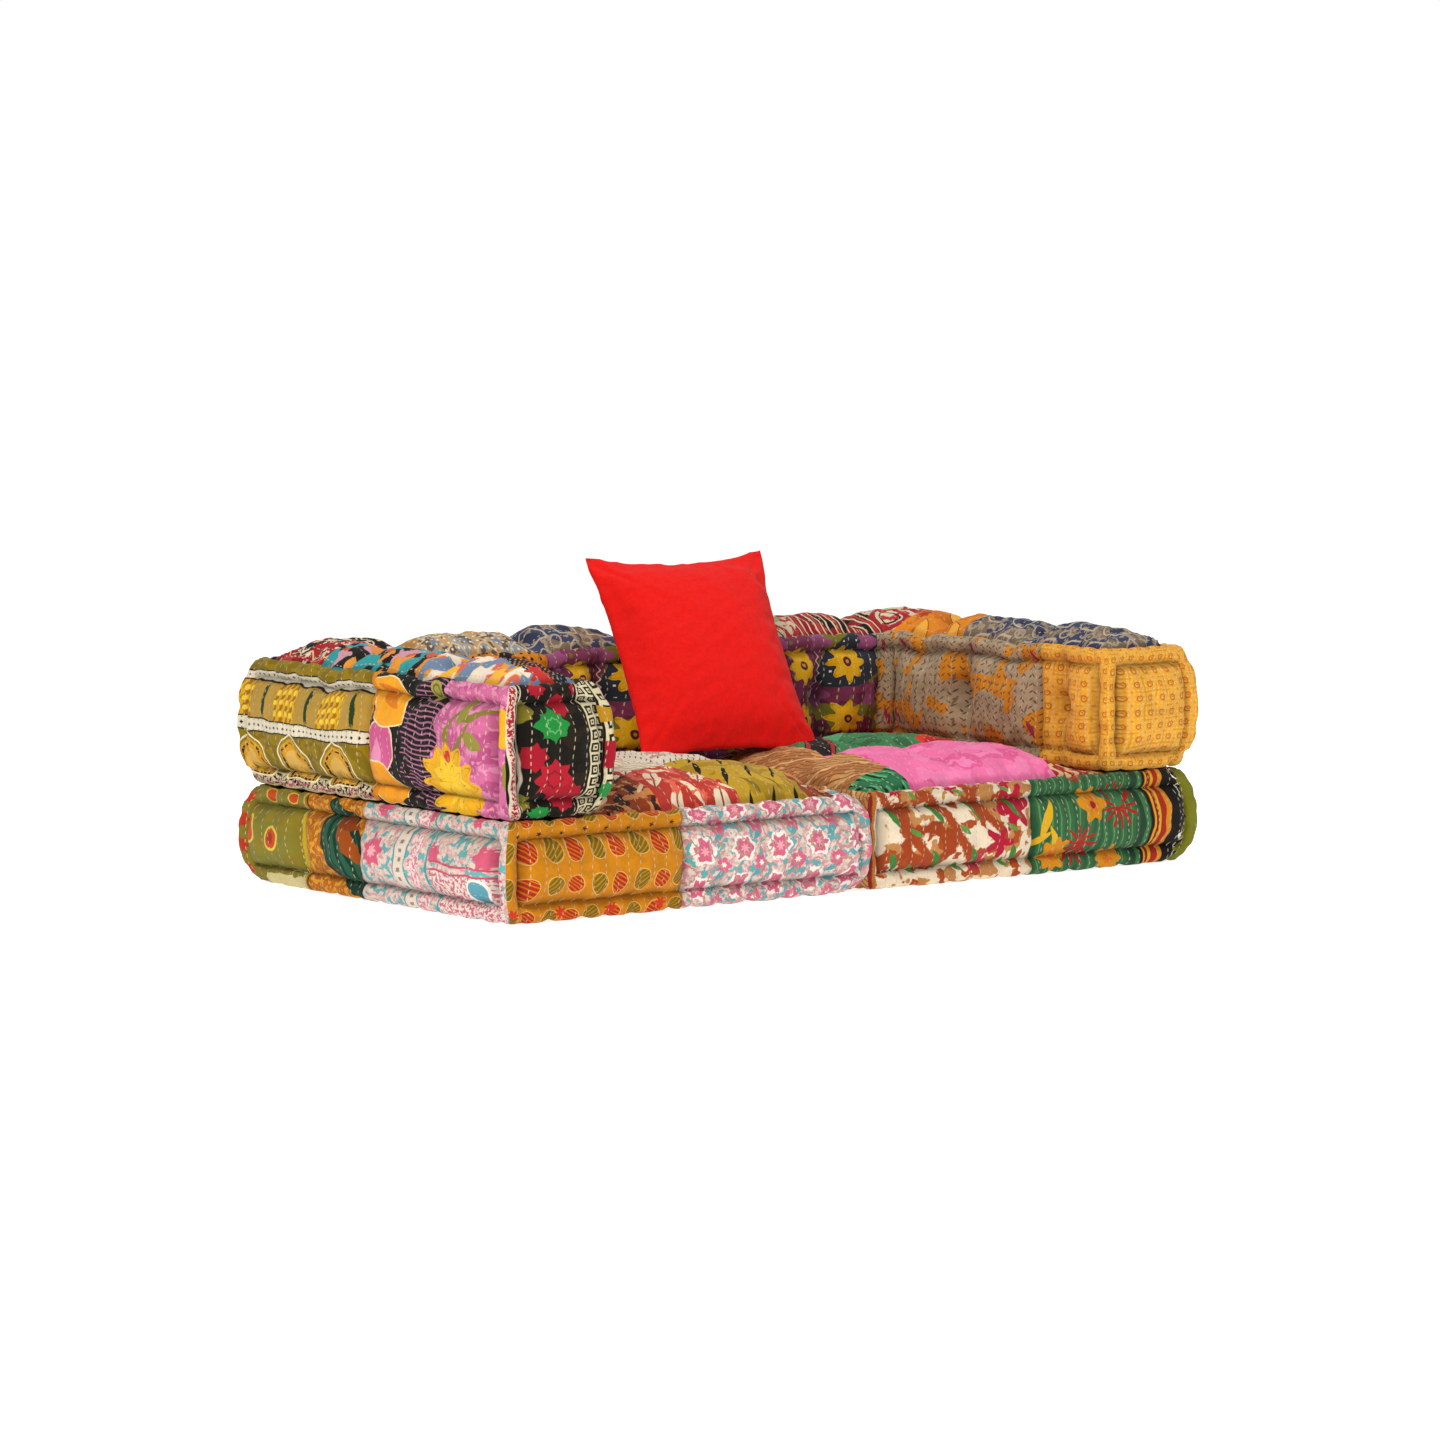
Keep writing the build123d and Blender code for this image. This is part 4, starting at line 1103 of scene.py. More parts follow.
  EDA93A leaf 34 at 30 30 every 94 86 wide 0.5 turn 28
  43200E leaf 34 at 30 30 every 94 86 wide 0.5 turn 28 rim 1.5
  B33A1C petals 14 at 76 66 every 94 86 petals 6
cream_crimson_paisley D3C4A4
  9E1F2B arch 26 at 30 30 every 74 82 wide 1.2 rim 5 ragged 0.3
  B6323C blot 15 share 0.3
  231A16 arch 15 at 30 28 every 74 82 wide 1.2 rim 1.6
  8FB27A leaf 14 at 60 70 every 74 82 wide 0.4 turn 50
red_pinstripe 8E1820
  17110F blot 36 share 0.34
  D9C6A8 stripe 1.5 at 3 every 13
  C03A34 stripe 2.2 at 9 every 39
red_cream_leaf B5352B
  E4D3B6 leaf 42 at 30 30 every 86 76 wide 0.3 turn 62 ragged 0.3
  E4D3B6 leaf 30 at 72 60 every 86 76 wide 0.26 turn 110 ragged 0.3
  8E1E1E stripe 1.4 at 30 30 every 86 76 turn -28
  D8614C blot 18 share 0.2
dashed_white D9CFC0
  2B2421 leaf 5.5 at 3 4 every 12 15 wide 0.2 turn 60
  B98F86 blot 34 share 0.25
  B4492F stripe 3 at 4 every 150 lean 40
pin_diagonal E0D2BC
  8C8276 stripe 1.1 every 8 lean 52
  C7A27E blot 40 share 0.3
olive_strokes BF9A24
  A5831B blot 30 share 0.4
  1C1810 leaf 30 at 16 24 every 46 74 wide 0.12 turn 62 ragged 0.5
  7C6A16 leaf 22 at 38 60 every 46 74 wide 0.16 turn 118 ragged 0.5
tan_lines A8703F
  C69258 blot 52 share 0.4
  7E4A26 stripe 1.1 every 9 lean 36 ragged 0.4
  D9B27E stripe 1.6 at 9 every 47 lean 48 ragged 0.8
rust_ink 8E3B17
  3A1A10 blot 30 share 0.34
  C9834A blot 18 share 0.24
  E0C3A0 leaf 18 at 20 18 every 72 60 wide 0.24 turn 40
leaf_stripes 2E8A55
  12261B stripe 2.2 at 3 every 15 lean 30 ragged 0.4
  5FB07A stripe 1.6 at 9 every 15 lean 30
  1F6A42 blot 36 share 0.35
green_beaded 3B7E50
  2E6640 blot 34 share 0.35
  14110F stripe 24 at 60 100 lean -32
  E6DFCE spot 3.4 at 60 every 999 13 lean -32 + stripe 24 at 60 100 lean -32
  A52A2A stripe 19 at 60 100 lean -32 rim 3
  55A06C leaf 60 at 150 165 wide 0.36 turn 40
  A51D22 leaf 60 at 118 200 wide 0.5 turn 30
bright_pink EC72AA
  DE5C98 blot 60 share 0.4
  EE7FB4 blot 30 share 0.3
  B79AD8 spot 34 at 262 232 soft 18
red_ringed B41E1E
  D8341C blot 60 share 0.35
  A8A29C spot 22 at 70 110
  5E5752 spot 13 at 70 110 rim 2
  E8922A leaf 80 at 10 190 wide 0.3 turn 30
  3D7C4C leaf 44 at 20 60 every 190 190 wide 0.4 turn 60
orange_navy DB4F1E
  E8A032 leaf 40 at 30 60 every 110 120 wide 0.4 turn 50
  2A2F55 petals 12 at 60 24 every 74 90 petals 5 ragged 0.6
  15100D leaf 12 at 40 66 every 110 120 wide 0.4 turn 50
crimson_zigzag A31C27
  D6B98B wave 5 at 8 every 34 petals 24 bend 7
  B98A50 leaf 90 at 150 60 wide 0.5 turn 40
  E2C79A blot 20 share 0.16
calico CBBFA6
  B9AC92 blot 30 share 0.4
red_poplin E5150F
  E01310 blot 9 share 0.4 soft 3
cotton_twine D8CDB4
  C3B694 blot 6 share 0.4
"""


def read_figure(said):
    """One figure from its words: its shape and size, then each other word with its numbers."""
    shape, *rest = said.split()
    word, numbers = "size", {"size": []}
    for part in rest:
        if part.isalpha():
            word = part
            numbers[word] = []
        else:
            numbers[word].append(float(part))
    settings = {word: given if word in ("at", "every") else given[0] for word, given in numbers.items()}
    return dict(shape=shape, **settings)


def read_prints(said):
    """The cloths of the table by name, each its ground colour and its layers."""
    prints = {}
    for line in said.replace("+\n", "+").strip().splitlines():
        first, rest = line.split(maxsplit=1)
        if line.startswith(" "):
            layers.append((first, [read_figure(words) for words in rest.split("+")]))
        else:
            layers = []
            prints[first] = (rest, layers)
    return prints


# Cloths whose rows of stitches run along the band, not up it, and cloths that aren't quilted
STITCHED_ALONG = ("blossom_bands", "tan_lines", "navy_paisley")
PLAIN = ("calico", "red_poplin", "cotton_twine")

PATTERNS = read_prints(PRINTS)
CLOTHS = {}
for cloth_name, pattern in PATTERNS.items():
    if cloth_name not in PLAIN:
        laid_along = cloth_name in STITCHED_ALONG
        CLOTHS[cloth_name] = quilted_cotton("kantha_" + cloth_name, *pattern, along=laid_along)
# Unbleached calico on the undersides, plain woven: cream, matt, a little cloudy
CLOTHS["calico"] = quilted_cotton("calico_underside", *PATTERNS["calico"], stitches=False)
# Dyed cotton poplin on the scatter cushion: even, smooth and bright
CLOTHS["red_poplin"] = quilted_cotton("poplin_red", *PATTERNS["red_poplin"], stitches=False, shine=0.05,
                                      fading=0.06)
# Cotton twine of the tufts: undyed, dull
CLOTHS["cotton_twine"] = quilted_cotton("twine_cotton", *PATTERNS["cotton_twine"], stitches=False)


# The cushions' patterns

# The cloth's coarse grid on a seat and on a bolster, along and up, in millimetres
SEAT_PITCH, SEAT_PITCH_UP, BOLSTER_PITCH, BOLSTER_PITCH_UP = 10.5, 8.9, 9.8, 9.0
# How far the sides swell between their rolls
SEAT_SWELL, FRONT_SWELL, OUTER_SWELL, INNER_SWELL = 18.0, 21.0, 17.5, 15.0
# Where a seat's top starts to carry a bolster
UNDER_ARM, UNDER_BACK = 497, 165


def laid_out(cushion, marks_x, marks_y, pitch, pitch_up):
    """Adds the cushion's flat panels: its upright sides, then its top and its underside."""
    for edge in cushion["edges"]:
        across = FACINGS[edge["facing"]][0]
        marks = marks_x if across[0] else marks_y
        marks += [seam * across.sum() for seam in edge["seams"]]
    lines_x, lines_y = cloth_lines(marks_x, pitch), cloth_lines(marks_y, pitch)
    lines_z = cloth_lines(roll_marks(cushion["low"], cushion["high"]), pitch_up)

    def between(lines, low, high):
        return lines[(lines >= low - SLIP) & (lines <= high + SLIP)]

    panels = []
    for edge in cushion["edges"]:
        across = FACINGS[edge["facing"]][0]
        own = lines_x if across[0] else lines_y
        own = own if across.sum() > 0 else -own[::-1]
        own = between(own, edge["start"], edge["stop"])
        panels.append(dict(facing=edge["facing"], offset=edge["offset"], u=own, v=lines_z, edge=edge))
    for facing, offset in (("top", cushion["high"]), ("under", -cushion["low"])):
        for x0, y0, x1, y1 in cushion["plan"]:
            xs, ys = between(lines_x, x0, x1), between(lines_y, y0, y1)
            ys = ys if facing == "top" else -ys[::-1]
            panels.append(dict(facing=facing, offset=offset, u=xs, v=ys, edge=None))
    cushion["panels"] = panels
    return cushion


def patched(*patches):
    """Patches along a side, each a start in millimetres and its cloth; and the seams between them."""
    return dict(patches=list(patches), seams=[start for start, _ in patches[1:]])


def make_seat(name, hand, sides, top_patches):
    """One seat module; hand is -1 for the left and 1 for the right."""
    x0, x1 = sorted((hand * JOIN_X, hand * SIDE_X))
    outer, inner = ("left", "right") if hand < 0 else ("right", "left")
    edges = [
        side_edge("front", SIDE_Y, x0, x1, swell=SEAT_SWELL, **sides["front"]),
        side_edge("back", SIDE_Y, -x1, -x0, swell=SEAT_SWELL, **sides["back"]),
        side_edge(outer, SIDE_X, -SIDE_Y, SIDE_Y, swell=SEAT_SWELL, **sides["outer"]),
        side_edge(inner, -JOIN_X, -SIDE_Y, SIDE_Y, **sides["join"]),
    ]

    def kept_clear(points, block):
        """Off the other module and the floor, and flat where a bolster lies."""
        points[:, 0] = np.maximum(points[:, 0] * hand, JOIN_X) * hand
        carrying = (block[:, 0] * hand > UNDER_ARM) | (block[:, 1] > UNDER_BACK)
        points[:, 2] = np.where(carrying, np.minimum(points[:, 2], SEAT_TOP), points[:, 2])
        points[:, 2] = np.maximum(points[:, 2], 0.0)
        return points

    tufts = [(hand * x, y) for x in CHANNELS_X for y in CHANNELS_Y]
    corners = [(x, y, np.sign((x0 + x1) / 2 - x), -np.sign(y)) for x in (x0, x1) for y in (-SIDE_Y, SIDE_Y)]
    cushion = dict(name=name, low=0.0, high=SEAT_TOP, edges=edges, nook=None, hand=hand, tufts=tufts,
                   side_tufts=[], crown=seat_crown(hand, tufts), wave=no_wave, corners=corners,
                   plan=[(x0, -SIDE_Y, x1, SIDE_Y)], top_patches=top_patches, kept_clear=kept_clear)
    return laid_out(cushion, roll_marks(x0, x1), roll_marks(-SIDE_Y, SIDE_Y), SEAT_PITCH, SEAT_PITCH_UP)


def make_bolster(name, hand, sides, top_patches):
    """One L-shaped bolster; hand is -1 for the left and 1 for the right."""
    outer, inner = ("left", "right") if hand < 0 else ("right", "left")
    turned = -hand
    arm_x0, arm_x1 = sorted((hand * ARM_INNER, hand * SIDE_X))
    back_x0, back_x1 = sorted((hand * JOIN_X, hand * ARM_INNER))
    whole_x0, whole_x1 = sorted((hand * JOIN_X, hand * SIDE_X))
    arm_run = sorted((turned * -SIDE_Y, turned * BACK_INNER))
    end_run = sorted((turned * BACK_INNER, turned * SIDE_Y))
    # The two inner sides have no roll where they meet in the nook
    edges = [
        side_edge(outer, SIDE_X, -SIDE_Y, SIDE_Y, swell=OUTER_SWELL, **sides["outer"]),
        side_edge("back", SIDE_Y, -whole_x1, -whole_x0, swell=OUTER_SWELL, **sides["back"]),
        side_edge("front", SIDE_Y, arm_x0, arm_x1, swell=FRONT_SWELL, **sides["front"]),
        side_edge(inner, -ARM_INNER, *arm_run, swell=INNER_SWELL, start_roll=hand < 0, stop_roll=hand > 0,
                  valleys=[turned * y for y in ARM_PINCHES], **sides["arm_inner"]),
        side_edge("front", -BACK_INNER, back_x0, back_x1, swell=INNER_SWELL, start_roll=hand > 0,
                  stop_roll=hand < 0, valleys=[hand * x for x in BACK_PINCHES], **sides["back_inner"]),
        side_edge(inner, -JOIN_X, *end_run, **sides["join"]),
    ]

    def kept_clear(points, block):
        """Off the other module and the seat below."""
        points[:, 0] = np.maximum(points[:, 0] * hand, JOIN_X) * hand
        points[:, 2] = np.maximum(points[:, 2], BOLSTER_FLOOR)
        return points

    tufts = [(hand * ARM_MIDDLE, y) for y in CHANNELS_Y] + [(hand * x, BACK_MIDDLE) for x in CHANNELS_X]
    middle = (BOLSTER_FLOOR + BOLSTER_TOP) / 2
    side_tufts = [((hand * ARM_INNER, y, middle), (-hand, 0, 0)) for y in ARM_PINCHES]
    side_tufts += [((hand * x, BACK_INNER, middle), (0, -1, 0)) for x in BACK_PINCHES]
    corners = [(hand * SIDE_X, -SIDE_Y, -hand, 1), (hand * ARM_INNER, -SIDE_Y, hand, 1),
               (hand * SIDE_X, SIDE_Y, -hand, -1), (hand * JOIN_X, SIDE_Y, hand, -1),
               (hand * JOIN_X, BACK_INNER, hand, 1)]
    cushion = dict(name=name, low=BOLSTER_FLOOR, high=BOLSTER_TOP, edges=edges, tufts=tufts,
                   nook=(hand * ARM_INNER, BACK_INNER), hand=hand, side_tufts=side_tufts,
                   crown=bolster_crown(hand, tufts), wave=bolster_wave(hand), corners=corners,
                   plan=[(arm_x0, -SIDE_Y, arm_x1, SIDE_Y), (back_x0, BACK_INNER, back_x1, SIDE_Y)],
                   top_patches=top_patches, kept_clear=kept_clear)
    around_nook = (-ROLL_CLOTH, 0, ROLL_CLOTH)
    marks_x = roll_marks(whole_x0, whole_x1) + [hand * (ARM_INNER + past) for past in around_nook]
    marks_y = roll_marks(-SIDE_Y, SIDE_Y) + [BACK_INNER + past for past in around_nook]
    return laid_out(cushion, marks_x, marks_y, BOLSTER_PITCH, BOLSTER_PITCH_UP)


# Sides list their patches by where each starts; tops list theirs as x0, y0, x1, y1 and the cloth
seat_left = make_seat("seat_left", -1, dict(
    front=patched((-700, "mustard_ovals"), (-367, "blossom")),
    back=patched((0, "green_marigold"), (350, "blossom_bands")),
    outer=patched((-368, "olive_ovals"), (-190, "rust_leaf"), (-26, "blossom_bands")),
    join=patched((-368, "blossom"), (0, "plum_marigold")),
), [
    (-701, -369, -382, 369, "rust_ink"), (-382, -369, -230, -200, "red_cream_leaf"),
    (-382, -200, -230, -60, "pin_diagonal"), (-382, -60, -230, 369, "red_cream_leaf"),
    (-230, -369, -90, -100, "olive_strokes"), (-230, -100, -60, 369, "dashed_white"),
    (-90, -369, 1, -100, "rust_ink"), (-60, -100, 1, 369, "tan_lines"),
])
seat_right = make_seat("seat_right", 1, dict(
    front=patched((0, "rust_dyed"), (348, "green_marigold")),
    back=patched((-700, "ikat_olive"), (-340, "rust_dyed")),
    outer=patched((-368, "olive_ovals"), (-60, "mustard_ovals")),
    join=patched((-368, "rust_dyed"), (0, "tan_lines")),
), [
    (0, -369, 118, -280, "leaf_stripes"), (0, -280, 118, 60, "tan_lines"), (0, 60, 200, 369, "red_pinstripe"),
    (118, -369, 430, -112, "bright_pink"), (118, -112, 330, 140, "green_beaded"),
    (330, -112, 452, 369, "red_ringed"), (452, -150, 701, 369, "orange_navy"),
    (430, -369, 701, -150, "crimson_zigzag"), (0, -369, 701, 369, "rust_ink"),
])
bolster_left = make_bolster("bolster_left", -1, dict(
    outer=patched((-368, "ikat_olive"), (0, "peony_pink")),
    back=patched((0, "amber_petals"), (240, "tan_paisley"), (480, "peony_pink")),
    front=patched((-700, "black_stars"),),
    arm_inner=patched((-368, "black_stars"), (-180, "houndstooth_medley")),
    back_inner=patched((-511, "ink_pink_stripes"), (-440, "amber_petals"), (-232, "plum_marigold")),
    join=patched((179, "amber_petals"),),
), [
    (-701, -369, -511, -80, "houndstooth_medley"), (-701, -80, -511, 190, "teal_medley"),
    (-701, 190, -470, 369, "crimson_ink"), (-470, 179, -233, 369, "tan_paisley"),
    (-233, 179, 1, 369, "navy_paisley"),
])
bolster_right = make_bolster("bolster_right", 1, dict(
    outer=patched((-368, "marigold_checks"), (-60, "teal_medley"), (180, "olive_ovals")),
    back=patched((-700, "navy_paisley"), (-430, "houndstooth_medley"), (-200, "orange_leaf")),
    front=patched((511, "marigold_checks"),),
    arm_inner=patched((-179, "sprig_beige"), (200, "marigold_checks")),
    back_inner=patched((0, "plum_marigold"), (232, "plum_marigold"), (470, "sprig_beige")),
    join=patched((-368, "orange_leaf"),),
), [
    (0, 179, 170, 369, "orange_leaf"), (170, 179, 330, 369, "cream_crimson_paisley"),
    (330, 179, 511, 369, "red_pinstripe"), (511, 210, 701, 369, "cream_crimson_paisley"),
    (511, 40, 701, 210, "orange_leaf"), (511, -369, 701, 40, "navy_paisley"),
])


# Scatter cushion

# Where it leans: its middle, and the ways across it, out of its face and up it
PILLOW_MIDDLE = np.array([33.0, 106.47, 347.5])
PILLOW_ACROSS = np.array([0.9877, -0.1564, 0.0])
PILLOW_FACING = np.array([-0.1312, -0.8283, 0.5446])
PILLOW_UP = np.cross(PILLOW_FACING, PILLOW_ACROSS)
PILLOW_HALF, PILLOW_TALL, PILLOW_THICK = 164.0, 191.0, 107.16
PILLOW_ROWS, PILLOW_SLACK, PILLOW_MOST = 52, 0.035, 9.0
# The plain block that its two faces are laid out on
BLOCK_HALF, BLOCK_HIGH = 175, 50
# How far its sides are drawn in between the corners and how near the rim that stays; how square it is and how
# roundly it fills
NARROWED, LOWERED, DRAWN_POWER, FULL_POWER, FULL_ROUND = 0.052, 0.072, 1.5, 2.1, 0.56
# Its corners: blunt, with ears that stand out, the longest at the top right
BLUNT_POWER, EAR_POWER, LONG_EAR, SHORT_EAR = 16, 5, 0.085, 0.05
# Folds that run out from the rim, creases and dimples, each a length, a height and a seed
RIM_FOLDS, PILLOW_CREASES, PILLOW_DIMPLES = (34, 1.6, 31), (120, 1.5, 32), (24, 0.5, 33)
# How fast they fade by the rim, the lip of its seam, and how the folds are drawn out
RIM_FADE, CREASE_FADE, SEAM_FADE, SEAM_LIP, DRAWN_OUT = 0.16, 6, 0.016, 0.006, (1, 0.35, 1)


def pillow_grids(count):
    """Its front and back on a grid of that many points each way, and the block that they are sewn on."""
    step = np.linspace(-1, 1, count)
    a, b = np.meshgrid(step, step, indexing="ij")
    across, up = np.abs(a), np.abs(b)
    x = PILLOW_HALF * a * (1 - NARROWED * (1 - b ** 2) * across ** DRAWN_POWER)
    y = PILLOW_TALL * b * (1 - LOWERED * (1 - a ** 2) * up ** DRAWN_POWER)
    blunt = (across ** BLUNT_POWER + up ** BLUNT_POWER + 1e-9) ** (1 / BLUNT_POWER)
    ear = 1 + (across * up) ** EAR_POWER * np.where((a > 0) & (b > 0), LONG_EAR, SHORT_EAR)
    ear = ear / np.maximum(blunt / np.maximum(across, up).clip(1e-3), 1)
    thick = ((1 - across ** FULL_POWER) * (1 - up ** FULL_POWER)).clip(0) ** FULL_ROUND * PILLOW_THICK / 2
    high = np.where((across < 1) & (up < 1), BLOCK_HIGH, 0)
    shapes = [np.stack([x * ear, y * ear, thick * side], axis=-1)[::side] for side in (1, -1)]
    blocks = [np.stack([a * BLOCK_HALF, b * BLOCK_HALF, high * side], axis=-1)[::side] for side in (1, -1)]
    return shapes, blocks


def make_pillow():
    """A knife-edged square cushion: full in the middle, its sides drawn in between pointed corners."""
    shapes, blocks = pillow_grids(PILLOW_ROWS + 1)
    index, count, faces = sewn(blocks)
    rim = np.abs(meaned(index, count, blocks)).max(axis=1) > BLOCK_HALF - 0.1
    moved = stuffed(meaned(index, count, shapes), faces, np.where(rim, 1.0, 0.0), PILLOW_SLACK, PILLOW_MOST)
    spread = spread_over(shapes, moved[index])
    shapes, blocks = pillow_grids(2 * PILLOW_ROWS + 1)
    index, count, faces = sewn(blocks)
    points = meaned(index, count, shapes) + meaned(index, count, spread)
    inward = 1 - np.maximum(np.abs(points[:, 0]) / PILLOW_HALF, np.abs(points[:, 1]) / PILLOW_TALL)
    inward_open = np.clip(inward, 0, 1)
    length, height, seed = RIM_FOLDS
    puckers = np.abs(crumple(points * np.array(DRAWN_OUT), length, seed))
    relief = -height * puckers * np.exp(-inward_open / RIM_FADE)
    length, height, seed = PILLOW_CREASES
    relief -= height * np.abs(crumple(points, length, seed)) * np.clip(inward * CREASE_FADE, 0, 1)
    length, height, seed = PILLOW_DIMPLES
    relief += height * crumple(points, length, seed)
    points = points + point_normals(points, faces) * relief[:, None]
    points[:, :2] *= (1 + SEAM_LIP * np.exp(-(inward_open / SEAM_FADE) ** 2))[:, None]
    placed = PILLOW_MIDDLE + points @ np.array([PILLOW_ACROSS, PILLOW_UP, PILLOW_FACING])
    cover = cover_mesh("scatter_cushion", placed, faces.tolist())
    cut = cover.data.uv_layers.new(name="cut")
    cut.data.foreach_set("uv", (points[faces.reshape(-1)][:, :2] * MILLIMETRE + 0.2).reshape(-1))
    cover.data.materials.append(CLOTHS["red_poplin"])
    return cover


# Tufting ties

# Twine 2.6 mm thick: its rings from end to end, each a share of its length and of its thickness
TWINE, TWINE_SIDES = 1.3, 6
TWINE_RINGS = ((0, 0.45), (0.12, 0.9), (0.5, 1.0), (0.88, 0.9), (1, 0.45))
# The two crossed stitches of a tuft: how high each lies over the cloth, and its reach from the middle
LOWER_STITCH, UPPER_STITCH = 1.2, 2.6
CROSSED = (((9.0, 3.0, 0.4), LOWER_STITCH), ((-3.0, 9.0, 0.4), UPPER_STITCH))
# How far in the tie of a side tuft runs
SIDE_TIE = 60


def make_ties(cushion):
    """The twine of each tuft: two crossed stitches in its pit, and the tie that runs inside."""
    points, faces = [], []

    def strand(start, stop):
        """A length of twine, six-sided and rounded off at its ends."""
        line = stop - start
        ahead = line / np.linalg.norm(line)
        side = np.cross(ahead, [0.0, 0.0, 1.0] if abs(ahead[2]) < 0.9 else [1.0, 0.0, 0.0])
        side /= np.linalg.norm(side)
        other = np.cross(ahead, side)
        first = len(points)
        for share, swell in TWINE_RINGS:
            for k in range(TWINE_SIDES):
                turn = k * 2 * math.pi / TWINE_SIDES
                arm = (math.cos(turn) * side + math.sin(turn) * other) * TWINE * swell
                points.append(start + line * share + arm)
        starts = [first + ring * TWINE_SIDES for ring in range(len(TWINE_RINGS))]
        rings = [[start + k for k in range(TWINE_SIDES)] for start in starts]
        for low, high in zip(rings, rings[1:]):
            for k in range(TWINE_SIDES):
                after = (k + 1) % TWINE_SIDES
                faces.append((low[k], low[after], high[after], high[k]))
        faces.append(tuple(reversed(rings[0])))
        faces.append(tuple(rings[-1]))

    def on_cover(place):
        return cushion["points"][np.argmin(np.linalg.norm(cushion["block"] - place, axis=1))]

    for x, y in cushion["tufts"]:
        top, base = on_cover((x, y, cushion["high"])), on_cover((x, y, cushion["low"]))
        for way, lift in CROSSED:
            strand(top - way + [0, 0, lift], top + way + [0, 0, lift])
        strand(base + [0, 0, 4], top - [0, 0, 1])
    for place, out in cushion["side_tufts"]:
        pit, out = on_cover(place), np.array(out, float)
        along = np.cross(out, [0.0, 0.0, 1.0])
        for way, lift in ((along * 8 + [0, 0, 3.0], LOWER_STITCH), (along * -3 + [0, 0, 8.0], UPPER_STITCH)):
            strand(pit - way + out * lift, pit + way + out * lift)
        strand(pit - out * SIDE_TIE, pit - out)
    ties = cover_mesh(cushion["name"] + "_ties", np.array(points), faces)
    ties.data.materials.append(CLOTHS["cotton_twine"])
    ties.data.uv_layers.new(name="cut")
    return ties


# Putting it together

SEAT_PIECES = ("top_panel", "side_band", "bottom_panel", "filling")
BOLSTER_PIECES = ("arm_top", "back_top", "arm_band", "back_band", "arm_base", "back_base", "filling")

for cushion, pieces, finish in (
        (seat_left, SEAT_PIECES, "seat_patchwork"), (seat_right, SEAT_PIECES, "seat_patchwork"),
        (bolster_left, BOLSTER_PIECES, "bolster_patchwork"),
        (bolster_right, BOLSTER_PIECES, "bolster_patchwork")):
    body = cushion["name"]
    cover, ties = make_cushion(cushion), make_ties(cushion)
    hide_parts(*[body + "_" + piece for piece in pieces])
    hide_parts(body + "_tuft_ties")
    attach(cover, body)
    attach(ties, body)

pillow = make_pillow()
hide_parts("pillow_front_panel", "pillow_back_panel", "pillow_filling")
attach(pillow, "pillow")


# Studio

FLOOR_REACH, FLOOR_ROUGH = 60.0, 0.9
# The floor's glow: on the sofa, and the extra by which the camera sees it melt into the white air
GLOW, EXTRA_GLOW = 0.42, 0.3
# The white air: how bright the camera sees it, and how bright it lights the sofa
SEEN_AIR, LIGHTING_AIR = 1.0, 0.33


def acrylic_sheet(name, colour):
    """Matt white sheet of the studio floor, lit through from below: even and pale, with a faint mottle."""
    material = bpy.data.materials.new(name)
    material.use_nodes = True
    sheet = material.node_tree
    sheet.nodes.clear()
    mottle = add(sheet, "TexNoise", {"Scale": 3.0, "Detail": 2.0})
    tone = add(sheet, "MapRange", {"Value": mottle, "To Min": 0.985, "To Max": 1.0})
    shade = add(sheet, "VectorMath", {0: linear(colour)[:3], "Scale": tone}, operation="SCALE")
    seen = add(sheet, "LightPath", out="Is Camera Ray")
    glow = add(sheet, "Math", {0: seen, 1: EXTRA_GLOW, 2: GLOW}, operation="MULTIPLY_ADD")
    shader = add(sheet, "BsdfPrincipled", {"Base Color": shade, "Roughness": FLOOR_ROUGH,
                                           "Emission Color": linear("FFFFFF"), "Emission Strength": glow})
    add(sheet, "OutputMaterial", {"Surface": shader})
    return material


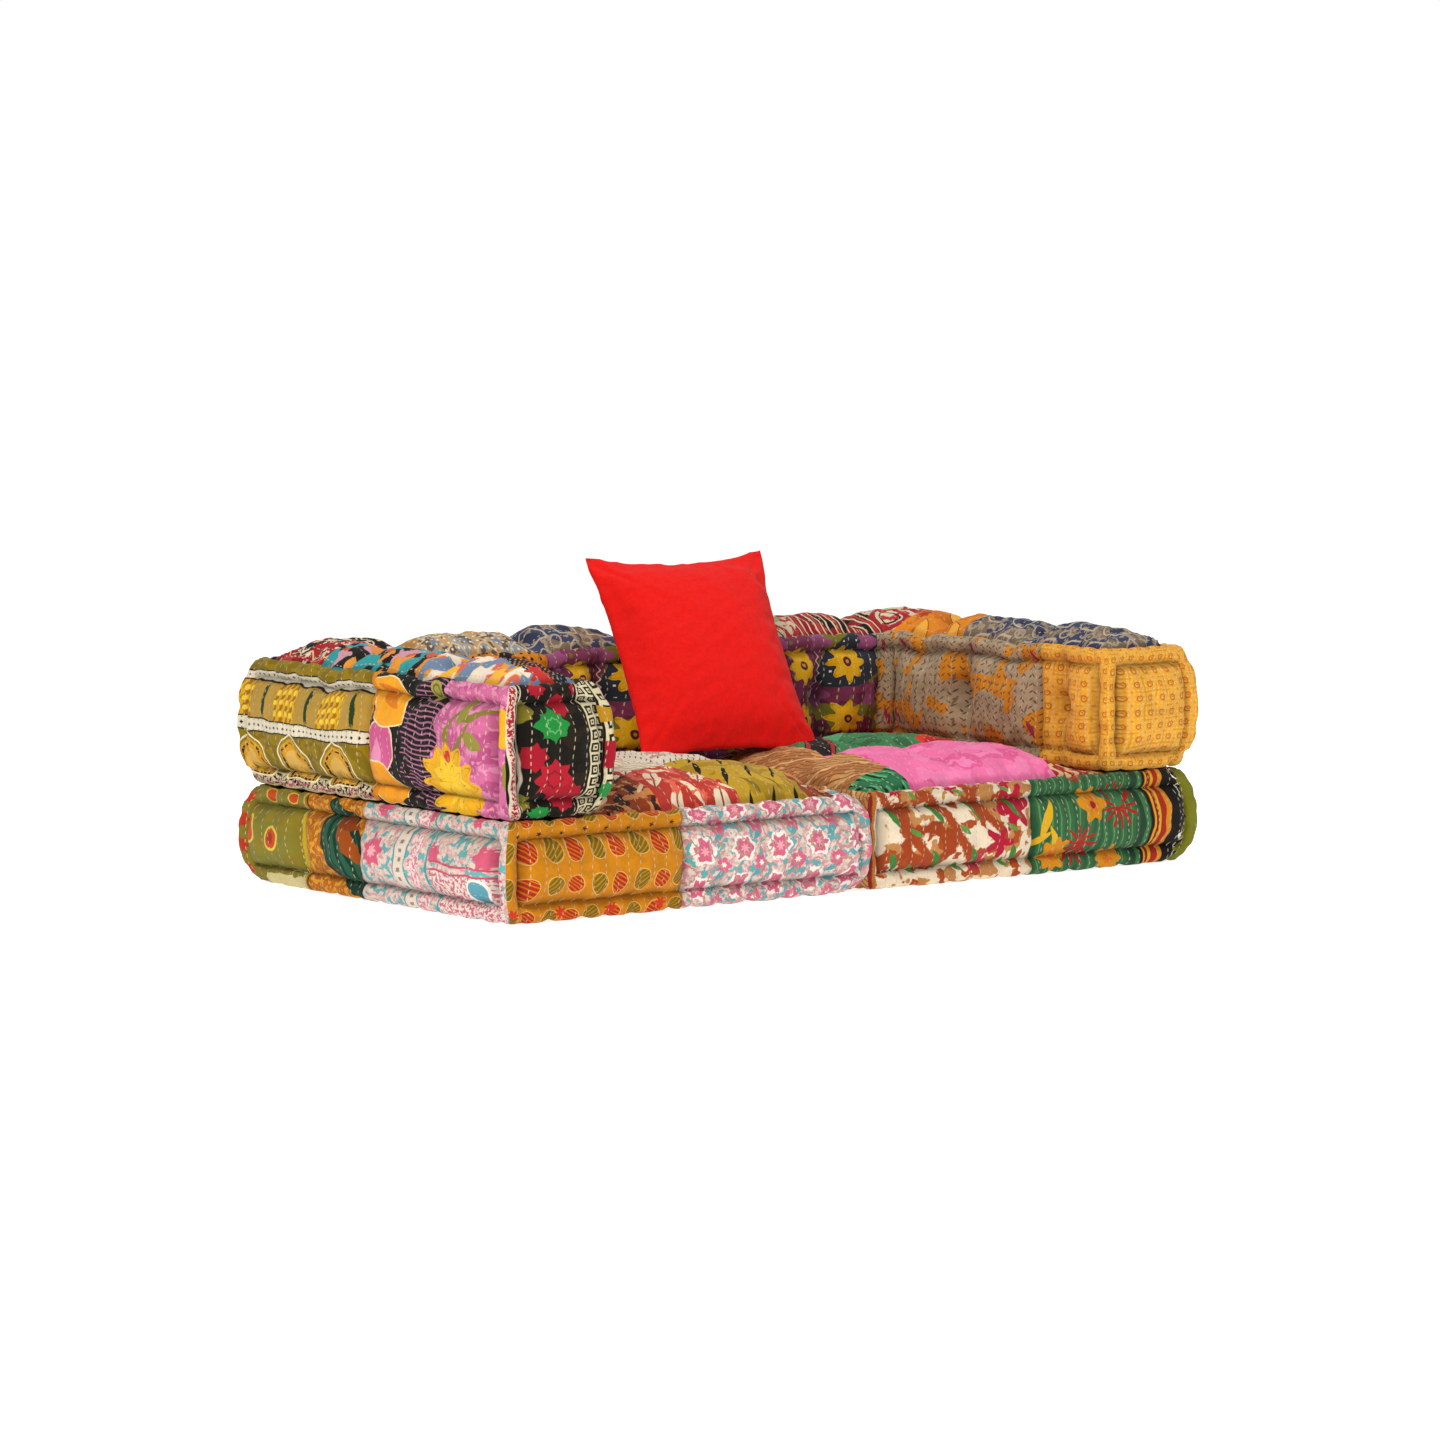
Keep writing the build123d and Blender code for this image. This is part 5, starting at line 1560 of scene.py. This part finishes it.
def studio_floor():
    """One flat square under the sofa, 120 m wide."""
    mesh = bpy.data.meshes.new("studio_floor")
    corners = [(x * FLOOR_REACH, y * FLOOR_REACH, 0) for x, y in ((-1, -1), (1, -1), (1, 1), (-1, 1))]
    mesh.from_pydata(corners, [], [(0, 1, 2, 3)])
    mesh.materials.append(acrylic_sheet("acrylic_sheet_white", "FAFAF9"))
    floor = bpy.data.objects.new("studio_floor", mesh)
    bpy.context.scene.collection.objects.link(floor)


def softbox(name, place, size, power, colour="FFFFFF", aim=(0, 0, 0.2)):
    """A square softbox that looks at a point, in metres and watts."""
    lamp = bpy.data.lights.new(name, "AREA")
    lamp.shape, lamp.size, lamp.energy = "SQUARE", size, power
    lamp.color = linear(colour)[:3]
    box = bpy.data.objects.new(name, lamp)
    box.location = place
    box.rotation_euler = (Vector(aim) - Vector(place)).to_track_quat("-Z", "Y").to_euler()
    bpy.context.scene.collection.objects.link(box)


def studio_air():
    """White air: what the camera sees behind the sofa, and softer light from all round."""
    world = bpy.data.worlds.new("studio_air")
    bpy.context.scene.world = world
    world.use_nodes = True
    air = world.node_tree
    air.nodes.clear()
    white_air = add(air, "Background", {"Color": linear("FFFFFF"), "Strength": SEEN_AIR})
    soft_air = add(air, "Background", {"Color": linear("FFFFFF"), "Strength": LIGHTING_AIR})
    seen = add(air, "LightPath", out="Is Camera Ray")
    mixed = add(air, "MixShader", {0: seen, 1: soft_air, 2: white_air})
    add(air, "OutputWorld", {"Surface": mixed})


def photo_camera(place, down, round_to_right):
    """The photograph's viewing angle, by how far the camera looks down and round, in degrees."""
    lens = bpy.data.cameras.new("camera")
    lens.lens, lens.sensor_width, lens.sensor_fit = 125.0, 36.0, "HORIZONTAL"
    camera = bpy.data.objects.new("camera", lens)
    camera.location = place
    camera.rotation_euler = (math.radians(90 - down), 0, math.radians(-round_to_right))
    bpy.context.scene.collection.objects.link(camera)
    bpy.context.scene.camera = camera


studio_floor()
softbox("softbox_left", (-4.0, -2.6, 3.7), 1.4, 190, "FFF3E2")
softbox("softbox_front", (2.6, -4.2, 2.2), 2.0, 45)
softbox("softbox_above", (0.4, 1.0, 4.0), 2.4, 55)
studio_air()
photo_camera((-5.009, -6.498, 0.993), 5.18, 37.56)
bpy.context.scene.view_settings.view_transform = "Standard"
